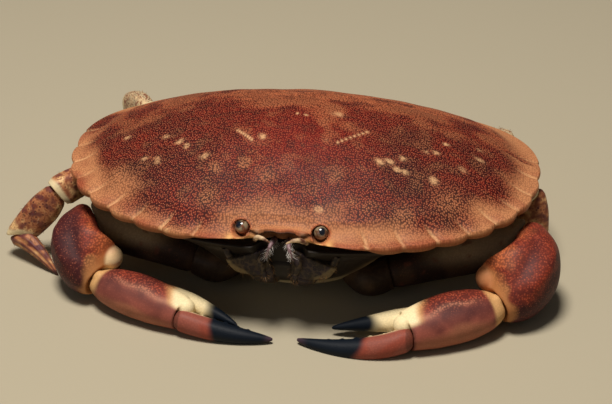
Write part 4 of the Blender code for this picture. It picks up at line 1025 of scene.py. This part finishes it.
for side, sign in SIDES.items():
    joints = [np.array(p, float) * (sign, 1, 1) for p in CLAW_POINTS[side]]
    hip, elbow, wrist, palm_end, finger_tip, pollex_tip = joints
    scale = CLAW_SIZE[side]
    outwards = np.array([sign, 0.0, 0.0])
    bows = [np.zeros(3), outwards * WRIST_BOW * scale, np.zeros(3)]
    cuts = joint_normals(joints[:4], bows)
    halves = [n * GAP / 2 for n in cuts]
    hip_of(f"claw_hip_{side}", hip, cuts[0], CLAW_ARM[0][1:], (0, 1, 0), CLAW_POWER)

    # the arm, painted dark below as shade, and pale above
    path, sizes = segment(hip + halves[0], elbow - halves[1], CLAW_ARM)
    rings = tube(path, sizes, (0, 1, 0), ARM_SIDES, CLAW_POWER, cuts[0], cuts[1])
    points, faces, _ = closed(rings, KNUCKLE, SOCKET)
    share = np.clip(((points - hip) @ unit(elbow - hip)) / np.linalg.norm(elbow - hip), 0, 1)
    upper = smooth(13, 20, points[:, 2]) * smooth(0.15, 0.45, share)
    tint = coated(
        HIP_SHADE,
        (DRAB_AND_SHADE, 0.6 * smooth(0.0, 1.6, mottle(points, 8, 61))),
        (ARM_CREAM, 0.9 * upper),
        (BROWN_SPOT, 0.6 * smooth(1.5, 2.0, mottle(points, 2.4, 62))),
    )
    arm = piece(f"claw_arm_shell_{side}", points, faces, claw_grains, Tint=tint,
                Grain=np.full(len(points), 0.15))
    stand_in_for(arm, f"claw_arm_{side}")

    # the wrist, with a ridge along its top and a blunt tooth at its inner corner
    path, sizes = segment(elbow + halves[1], wrist - halves[2], CLAW_WRIST, scale, bows[1])
    rings = tube(path, sizes, outwards, WRIST_SIDES, CLAW_POWER, cuts[1], cuts[2])
    points, faces, _ = closed(rings, KNUCKLE, SOCKET)
    inward, back, up, radius = WRIST_TOOTH
    tooth_at = wrist + np.array([-sign * inward, back, up]) * scale
    body = face_out(piece("body", points, faces, plain))
    points, faces = fused("wrist", [body, ball("tooth", tooth_at, radius * scale)], *WRIST_SKIN)
    reach = np.linalg.norm(wrist - elbow)
    forward = unit(wrist - elbow)
    share = ((points - elbow) @ forward) / reach
    centre_line = elbow + (wrist - elbow) * np.clip(share, 0, 1)[:, None]
    off = points - centre_line
    upwards = unit(np.cross(outwards, forward)) * -sign
    round_turn = np.degrees(np.arctan2(off @ upwards, off @ outwards))
    fold = spot(round_turn, 38, 9) - 0.9 * spot(round_turn, 62, 11)
    points += unit(off) * (0.9 * fold * smooth(0.08, 0.3, share) * (1 - smooth(0.75, 0.95, share)))[:, None]
    up_side, inner = off[:, 2] / 12, -sign * off[:, 0] / 12
    soft, fine = mottle(points, 9, 63), mottle(points, 3.2, 64)
    dark = smooth(0.15, 1.1, 0.5 * soft + 0.45 * fine + 0.5 * share - 0.5 * up_side - 0.6 * inner)
    outer = -inner * 12 / 11
    past_ridge = outer - 0.2 if side == "right" else 0.5 * outer - up_side - 0.1
    outer_face = smooth(-0.15, 0.25, past_ridge + 0.05 * soft + 0.05 * fine)
    before_cut = -(points - wrist) @ cuts[2]
    inner_side = smooth(-0.4, 0.5, -off @ outwards / 8)
    near_tooth = np.linalg.norm(points - tooth_at, axis=1) / (radius * scale)
    # maroon along the pushed-in groove, painted shade in the crease
    groove = 0.5 * spot(round_turn, 60, 9) * smooth(0.1, 0.3, share) * (1 - smooth(0.7, 0.9, share))
    tint = coated(
        CLAW_RED,
        (CLAW_ORANGE, 0.75 * smooth(0.25, 0.85, 0.6 * up_side + 0.75 * inner + 0.15 * soft + 0.15 * fine)),
        (CLAW_MAROON, np.clip(0.40 * dark + 0.85 * outer_face, 0, 0.92)),
        (CLAW_PINK, 0.4 * outer_face * spot(mottle(points, 1.8, 69), 0, 0.18)),
        (CLAW_MAROON, groove),
        (CLAW_ORANGE, 0.55 * smooth(5.5, 2.0, before_cut + 0.8 * soft) * inner_side),
        (CLAW_TAN, 0.8 * smooth(4.0, 1.8, before_cut + 0.9 * soft + 0.5 * fine)),
        (TOOTH_TONE[side], 0.95 * (1 - smooth(0.95, 1.45, near_tooth + 0.1 * soft))),
    )
    points[:, 2] = np.maximum(points[:, 2], 0)
    grain = np.clip(smooth(0.5, 4, before_cut) - (1 - smooth(0.9, 1.6, near_tooth)), 0, 1)
    made = piece(f"claw_wrist_shell_{side}", points, faces, claw_grains, Tint=tint, Grain=0.65 * grain)
    stand_in_for(made, f"claw_wrist_{side}")

    # the palm, run out into the fixed finger, with a knob on each joint
    forward = unit(palm_end - wrist)
    roll = math.radians(CLAW_ROLL)
    bite = np.array([0.0, -math.cos(roll), -math.sin(roll)])
    bite = unit(bite - forward * (bite @ forward))
    broadside = np.cross(forward, bite)
    path, sizes = segment(wrist + halves[2], palm_end - forward * GAP / 2, PALM, scale * PALM_SIZE[side])
    rings = tube(path, sizes, broadside, PALM_SIDES, CLAW_POWER, cuts[2], forward)
    points, faces, _ = closed(rings, KNUCKLE, SOCKET)
    body = face_out(piece("body", points, faces, plain))
    root = wrist + (palm_end - wrist) * POLLEX_ROOT - bite * POLLEX_DROP[side]
    path, sizes = segment(root, pollex_tip, POLLEX, scale, -bite * POLLEX_BOW[side])
    rings = tube(path, sizes, broadside, POLLEX_SIDES)
    finger_points, finger_faces, _ = closed(rings)
    fixed = face_out(piece("fixed", finger_points, finger_faces, plain))
    showing = broadside * sign
    knobs = [ball("knob", wrist + forward * 1.0 + showing * 2.4 * scale, 2.5 * scale),
             ball("knob", palm_end + forward * 0.4 - bite * 1.6 * scale + showing * 1.4 * scale, 3.2 * scale)]
    points, faces = fused("palm", [body, fixed, *knobs, *toothed(path, sizes, bite, scale)], *PALM_SKIN)
    points[:, 2] = np.maximum(points[:, 2], 0)
    reach = np.linalg.norm(palm_end - wrist)
    off = points - wrist
    share, rise = off @ forward / reach, off @ bite / (8.2 * scale * PALM_SIZE[side])
    soft, fine = mottle(points, 8, 65), mottle(points, 2.6, 66)
    highlight_band = spot(rise + 0.08 * soft, -0.06, 0.13) * smooth(0.15, 0.4, share)
    cap = 1 - smooth(0.07, 0.15, share + 0.03 * soft + 0.05 * rise)
    palm_end_on = share + 0.04 * soft - 0.10 * rise
    above_bite = 1 - smooth(0.0, 0.3, rise)
    black = smooth(1.20, 1.28, share + 0.03 * soft)
    tint = coated(
        CLAW_PINK,
        (CLAW_RED, 0.9 * (1 - smooth(-0.35, 0.25, rise + 0.08 * soft)) * smooth(0.02, 0.16, share)),
        (CLAW_MAROON, 0.45 * smooth(-0.2, 1.6, soft + 0.5 * fine) * (1 - smooth(0.75, 0.9, share))),
        (CLAW_MAROON, 0.35 * smooth(-0.2, 1.6, mottle(points, 4, 68)) * smooth(-0.3, 0.2, rise)),
        # a painted highlight along the outer face, and a dark band below it
        (PALM_HIGHLIGHT, 0.50 * highlight_band),
        (CLAW_MAROON, 0.50 * spot(rise + 0.06 * soft, 0.30, 0.26) * (1 - smooth(0.8, 1.0, share))),
        (BITE_TAN, 0.6 * smooth(0.66, 0.90, rise + 0.06 * soft)),
        # pale at the wrist, and cream over the joint of the moving finger
        (CLAW_YELLOW, 0.75 * cap),
        (CLAW_YELLOW, 0.6 * smooth(0.74, 0.86, palm_end_on) * above_bite),
        (CLAW_CREAM, 0.95 * smooth(0.82, 0.95, palm_end_on) * above_bite),
        (CLAW_CREAM, 0.5 * (1 - smooth(-1.05, -0.9, rise)) * smooth(0.4, 0.7, share)),
        (JOINT_BROWN, 0.7 * spot(share, 0.985, 0.012) * smooth(0.15, 0.35, rise)),
        (CLAW_CREAM, smooth(1.0, 1.03, share) * (1 - smooth(0.1, 0.4, rise))),
        (CLAW_BLACK, black),
    )
    grain = 0.65 * (1 - smooth(-0.2, 0.3, rise)) * (1 - smooth(0.7, 0.85, share)) * smooth(0.05, 0.2, share)
    grain = grain + 0.12 * (1 - black)
    made = piece(f"claw_palm_shell_{side}", points, faces, claw_grains, Tint=tint, Grain=grain)
    stand_in_for(made, f"claw_palm_{side}")

    # the moving finger
    root = palm_end + bite * FINGER_ROOT * scale + forward * GAP / 2
    path, sizes = segment(root, finger_tip, FINGER, scale, bite * FINGER_BOW[side])
    rings = tube(path, sizes, broadside, FINGER_SIDES, face_in=forward)
    points, faces, _ = closed(rings, KNUCKLE)
    body = face_out(piece("body", points, faces, plain))
    points, faces = fused("finger", [body, *toothed(path, sizes, -bite, scale)], *FINGER_SKIN)
    points[:, 2] = np.maximum(points[:, 2], 0)
    share = (points - root) @ unit(finger_tip - root) / np.linalg.norm(finger_tip - root)
    rise = (points - path[np.clip((share * 69).astype(int), 0, 69)]) @ bite / (3.6 * scale)
    soft = mottle(points, 5, 67)
    start = BLACK_FROM[side]
    black = smooth(start - 0.03, start + 0.07, share - 0.06 * rise + 0.02 * soft)
    tint = coated(
        CLAW_PINK,
        (CLAW_RED, 0.5 * smooth(-0.5, 1, soft)),
        (CLAW_CREAM, 0.85 * (1 - smooth(-0.85, -0.45, rise + 0.8 * share))),
        (JOINT_BROWN, 0.7 * (1 - smooth(0.0, 0.02, share))),
        (CLAW_BLACK, black),
        (CLAW_TIP, 0.7 * smooth(0.88, 0.99, share)),
    )
    made = piece(f"claw_finger_shell_{side}", points, faces, claw_grains, Tint=tint, Grain=0.15 * (1 - black))
    stand_in_for(made, f"claw_finger_{side}")


# Walking legs: four long joints each, flattened and mottled with brown and purple over cream. The last joint
# is a fluted spike that stands on its tip.
LEG_JOINTS = ("merus", "carpus", "propodus", "dactylus")
LEG_SIZE = {"leg1": 1.06, "leg2": 1.04, "leg3": 1.0, "leg4": 0.9}
LEG_SECTION = {"merus": (5.9, 3.5), "carpus": (5.4, 3.8), "propodus": (5.3, 3.5), "dactylus": (3.5, 2.9)}
LEG_PROFILE = {  # share of the length, shares of the section's half height and half width
    "merus": ((0, .56, .62), (.05, .64, .72), (.3, .86, .92), (.65, 1, 1), (.94, .95, 1.04), (1, .84, .92)),
    "carpus": ((0, .60, .66), (.07, .74, .80), (.5, .96, 1), (.88, 1, 1.04), (1, .86, .92)),
    "propodus": ((0, .66, .70), (.06, .80, .82), (.4, 1, 1), (.88, .88, .96), (1, .74, .82)),
    "dactylus": ((0, .84, .84), (.1, 1, 1), (.35, .82, .82), (.65, .56, .56), (.88, .28, .28), (1, .12, .12)),
}
CARPUS_BOW, DACTYLUS_BOW, DACTYLUS_FLUTE, LEG_FLAT_POWER = 1.5, 0.07, 0.06, 2.5
LEG_RINGS, LEG_SIDES, LEG_CUT_BACK, GROOVE_DEPTH = 48, 48, 3.0, 0.25
LEG_PALENESS = {"leg1": 0.0, "leg2": 0.0, "leg3": 0.60, "leg4": 0.30}
BRISTLING = {"merus": 0.3, "carpus": 0.3, "propodus": 0.5, "dactylus": 1.0}
LEG_POINTS = {  # the four joints from the hip on, then where the tip stands on the floor
    ("leg1", "right"): ((38, -15, 11.5), (70, -2, 24.8), (83.5, -16.2, 24.6), (97.4, -19.2, 8),
                        (81.8, -29.6)),
    ("leg1", "left"): ((38, -15, 11.5), (65, 1, 19.5), (78, 3, 26), (79.5, 0, 7), (63, -13)),
    ("leg2", "right"): ((40, -2, 12), (73, 12, 22), (82, 28, 17), (86, 46, 7), (82, 68)),
    ("leg2", "left"): ((40, -2, 12), (70, 17, 22), (73, 35, 17), (71, 53, 7.5), (66, 74)),
    ("leg3", "right"): ((38, 11, 12), (65, 44, 26.5), (75, 58, 21), (78, 72, 8), (74, 94)),
    ("leg3", "left"): ((38, 11, 12), (68, 42, 22.5), (64, 58, 15.5), (58, 76, 7.5), (52, 97)),
    ("leg4", "right"): ((32, 29, 12.5), (45, 60, 17.5), (51, 73, 12.5), (53, 89, 5.5), (48, 107)),
    ("leg4", "left"): ((32, 29, 12.5), (45, 60, 17.5), (46, 73, 11.5), (44, 89, 5), (38, 107)),
}
LEG_CREAM, LEG_BROWN, LEG_PURPLE = colour(226, 184, 128), colour(158, 84, 52), colour(82, 40, 48)
LEG_DOT, LEG_NET, LEG_TIP = colour(78, 34, 36), colour(120, 62, 42), colour(60, 40, 34)
leg_grains = shell_look("leg_shell", grain=1.3, dot=LEG_DOT, net=LEG_NET, dot_share=(0.22, 0.36),
                        net_share=(0.50, 0.75), bump=0.30, roughness=0.46)
furry = []
for (leg, side), given in LEG_POINTS.items():
    sign, scale = SIDES[side], LEG_SIZE[leg]
    joints = [np.array(p, float) * (sign, 1, 1) for p in given[:-1]]
    joints.append(np.array([given[-1][0] * sign, given[-1][1], 0.0]))
    reach = np.linalg.norm(joints[-1] - joints[-2])
    bows = [np.zeros(3), np.array([0, 0, CARPUS_BOW]), np.zeros(3), np.array([0, 0, DACTYLUS_BOW * reach])]
    cuts = joint_normals(joints, bows) + [np.array([0.0, 0.0, -1.0])]
    chord = joints[3] - joints[0]
    broadside = unit((-chord[1], chord[0], 0))
    hip_size = np.array(LEG_SECTION["merus"]) * scale * LEG_PROFILE["merus"][0][1:]
    hip_of(f"{leg}_hip_{side}", joints[0], cuts[0], hip_size, broadside, LEG_FLAT_POWER)
    for i, joint in enumerate(LEG_JOINTS):
        last = joint == "dactylus"
        start = joints[i] + cuts[i] * GAP / 2
        end = joints[i + 1] - (0 if last else cuts[i + 1] * GAP / 2)
        path, sizes = segment(start, end, LEG_PROFILE[joint], np.array(LEG_SECTION[joint]) * scale, bows[i],
                              LEG_RINGS)
        rings = tube(path, sizes, broadside, LEG_SIDES, 2.0 if last else LEG_FLAT_POWER, cuts[i], cuts[i + 1],
                     LEG_CUT_BACK)
        turns = 2 * math.pi * np.arange(LEG_SIDES) / LEG_SIDES
        share = np.linspace(0, 1, LEG_RINGS)[:, None]
        if last:
            middle = rings.mean(1, keepdims=True)
            fluted = smooth(0.02, 0.15, share) * (1 - smooth(0.8, 1, share))
            rings = middle + (rings - middle) * (1 + DACTYLUS_FLUTE * np.cos(8 * turns) * fluted)[..., None]
        else:
            normals = outwards_of(rings)
            groove = spot(turns, math.pi * 0.25, 0.12) + spot(turns, math.pi * 0.75, 0.12)
            groove = groove * smooth(0.05, 0.2, share) * (1 - smooth(0.85, 0.97, share))
            rings = rings - normals * (GROOVE_DEPTH * groove)[..., None]
        rings[..., 2] = np.maximum(rings[..., 2], 0)
        points, faces, extra = closed(rings, KNUCKLE, ((0.6, 0.0),) if last else SOCKET)
        points[:, 2] = np.maximum(points[:, 2], 0)
        ends = len(points) - (extra + LEG_RINGS) * LEG_SIDES
        grid_share = np.concatenate([np.zeros(extra * LEG_SIDES), np.repeat(share[:, 0], LEG_SIDES),
                                     np.ones(ends)])
        up_side = (points[:, 2] - np.interp(grid_share, share[:, 0], path[:, 2])) / (sizes[:, 0].max())
        soft, fine = mottle(points, 6, 71 + i), mottle(points, 1.5, 75 + i)
        browned = 0.5 if leg == "leg1" else 0.0
        tint = coated(
            LEG_CREAM,
            (LEG_BROWN, 0.80 * smooth(-0.5, 0.6, 0.5 * soft + 0.4 * fine + 0.5 * up_side + browned)),
            (LEG_PURPLE, 0.7 * smooth(0.3, 1.3, 0.9 * fine + 0.5 * soft + 0.3 * up_side)),
            (LEG_PURPLE, 0.6 * smooth(0.5, 0.8, up_side + 0.2 * fine) * smooth(0.1, 0.9, fine)),
            (LEG_PURPLE, browned * spot(up_side, 0.45, 0.3) * smooth(-0.2, 0.8, fine)),
            (CREAM, LEG_PALENESS[leg]),
        )
        spots = np.clip(0.75 + 0.45 * up_side + 0.2 * soft, 0, 1)
        if joint == "merus":
            tint = mix(tint, CREAM, 0.7 * (1 - smooth(0.5, 0.95, grid_share)))
            spots = spots * smooth(0.4, 0.9, grid_share)
        if last:
            stripe = np.cos(8 * np.tile(turns, len(points) // LEG_SIDES + 1)[:len(points)])
            tint = mix(tint, LEG_PURPLE, 0.75 * smooth(-0.2, 0.7, stripe))
            tint = mix(tint, LEG_TIP, smooth(0.86, 0.93, grid_share))
            spots = spots * 0.2
        else:
            pale_from = 0.80 if (leg, joint) == ("leg1", "propodus") else 0.86
            tint = mix(tint, CREAM, 0.85 * smooth(pale_from, pale_from + 0.09, grid_share + 0.04 * soft))
            spots = spots * (1 - smooth(0.85, 0.93, grid_share))
        rows = 0.5 * smooth(0.3, 1, np.abs(up_side)) + (0.9 if last else 0.3) * smooth(0.1, 0.8, soft)
        rows = rows * smooth(0.1, 0.25, grid_share) * (1 - smooth(0.8, 0.95, grid_share)) * BRISTLING[joint]
        furry.append((points, faces, rows, unit(joints[i + 1] - joints[i])))
        made = piece(f"{leg}_{joint}_shell_{side}", points, faces, leg_grains, Tint=tint, Grain=spots)
        stand_in_for(made, f"{leg}_{joint}_{side}")


# Bristles: stiff horn-brown hairs rooted in the shell, in rows along the legs, round the mouth and as a tuft
# on each antennule. Each hair is a thin tapering spike.
BRISTLE_SIDES = 4
BRISTLE_TONES = colour(70, 42, 24), colour(168, 124, 76)
TUFT_TONES = colour(206, 196, 188), colour(246, 240, 232)
STRAY, SHORTEST, SPIKE_TIP, SPIKE_FOOT = 0.35, 0.55, 0.12, 0.5
bristle_look, tuft_look = (clouded_look(name, tones, scale=900.0, between=(0.35, 0.65), roughness=(0.4, 0.7),
                                        bump=1.0, rise=0.02)
                           for name, tones in (("bristle", BRISTLE_TONES), ("tuft", TUFT_TONES)))

hair_tree, hair_in, hair_out = tree_of("bristles", {
    "Density": "Float", "Length": "Float", "Thickness": "Float", "Lean": "Float", "Seed": "Int",
    "Look": "Material"})
amount = node(hair_tree, "GeometryNodeInputNamedAttribute", {"data_type": "FLOAT"}, Name="Hair")
crowd = node(hair_tree, "ShaderNodeMath", {"operation": "MULTIPLY"}, _0=amount.outputs[0],
             _1=hair_in.outputs["Density"])
roots = node(hair_tree, "GeometryNodeDistributePointsOnFaces", Mesh=hair_in.outputs["Geometry"],
             Density=crowd.outputs[0], Seed=hair_in.outputs["Seed"])
way = node(hair_tree, "GeometryNodeInputNamedAttribute", {"data_type": "FLOAT_VECTOR"}, Name="Way")
leaning = node(hair_tree, "ShaderNodeVectorMath", {"operation": "SCALE"}, Vector=way.outputs[0],
               Scale=hair_in.outputs["Lean"])
upright = node(hair_tree, "ShaderNodeVectorMath", {"operation": "ADD"}, _0=roots.outputs["Normal"],
               _1=leaning.outputs["Vector"])
stray = node(hair_tree, "FunctionNodeRandomValue", {"data_type": "FLOAT_VECTOR"}, _0=(-STRAY,) * 3,
             _1=(STRAY,) * 3, Seed=hair_in.outputs["Seed"])
aim = node(hair_tree, "ShaderNodeVectorMath", {"operation": "ADD"}, _0=upright.outputs["Vector"],
           _1=stray.outputs[0])
turned = node(hair_tree, "FunctionNodeAlignRotationToVector", {"axis": "Z"}, Vector=aim.outputs["Vector"])
long = node(hair_tree, "FunctionNodeRandomValue", {"data_type": "FLOAT"}, _2=SHORTEST, _3=1.0,
            Seed=hair_in.outputs["Seed"])
reach = node(hair_tree, "ShaderNodeMath", {"operation": "MULTIPLY"}, _0=long.outputs[1],
             _1=hair_in.outputs["Length"])
size = node(hair_tree, "ShaderNodeCombineXYZ", X=hair_in.outputs["Thickness"], Y=hair_in.outputs["Thickness"],
            Z=reach.outputs[0])
spike = node(hair_tree, "GeometryNodeMeshCone", Vertices=BRISTLE_SIDES, Radius_Top=SPIKE_TIP,
             Radius_Bottom=SPIKE_FOOT, Depth=1.0)
planted = node(hair_tree, "GeometryNodeInstanceOnPoints", Points=roots.outputs["Points"],
               Instance=spike.outputs["Mesh"], Rotation=turned.outputs["Rotation"],
               Scale=size.outputs["Vector"])
hairs = node(hair_tree, "GeometryNodeRealizeInstances", Geometry=planted.outputs["Instances"])
coloured = node(hair_tree, "GeometryNodeSetMaterial", Geometry=hairs.outputs["Geometry"],
                Material=hair_in.outputs["Look"])
hair_tree.links.new(coloured.outputs["Geometry"], hair_out.inputs["Geometry"])


def bristled(name, grounds, slot, look, seed, density, length, thickness, lean):
    """One piece of bristles, rooted on copies of the given grounds: points, faces, hair share and lean."""
    starts = np.cumsum([0] + [len(points) for points, *_ in grounds])
    points = np.concatenate([ground[0] for ground in grounds])
    faces = [[k + start for k in face] for ground, start in zip(grounds, starts) for face in ground[1]]
    base = piece("ground", points, faces, plain, Hair=np.concatenate([ground[2] for ground in grounds]))
    face_out(base)
    ways = np.concatenate([np.tile(ground[3], (len(ground[0]), 1)) for ground in grounds])
    base.data.attributes.new("Way", "FLOAT_VECTOR", "POINT").data.foreach_set("vector", ways.ravel())
    made = grown(base, hair_tree, name, Density=density, Length=length * MM, Thickness=thickness * MM,
                 Lean=lean, Seed=seed, Look=look)
    heights = np.zeros(len(made.data.vertices) * 3)
    made.data.vertices.foreach_get("co", heights)
    heights = heights.reshape(-1, 3)
    heights[:, 2] = np.maximum(heights[:, 2], 0)
    made.data.vertices.foreach_set("co", heights.ravel())
    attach(made, "root")


# each piece's name, grounds, slot, look, seed, hairs a square metre, length, thickness and lean
for row in (("leg_bristles", furry, "leg_shell", bristle_look, 11, 9.0e5, 1.3, 0.16, 1.0),
            ("jaw_bristles", mouth_fur, "cream_shell", bristle_look, 12, 1.1e6, 1.5, 0.14, 0.8),
            ("antennule_tufts", tuft_fur, "feeler", tuft_look, 13, 3.6e6, 2.2, 0.10, 1.4)):
    bristled(*row)
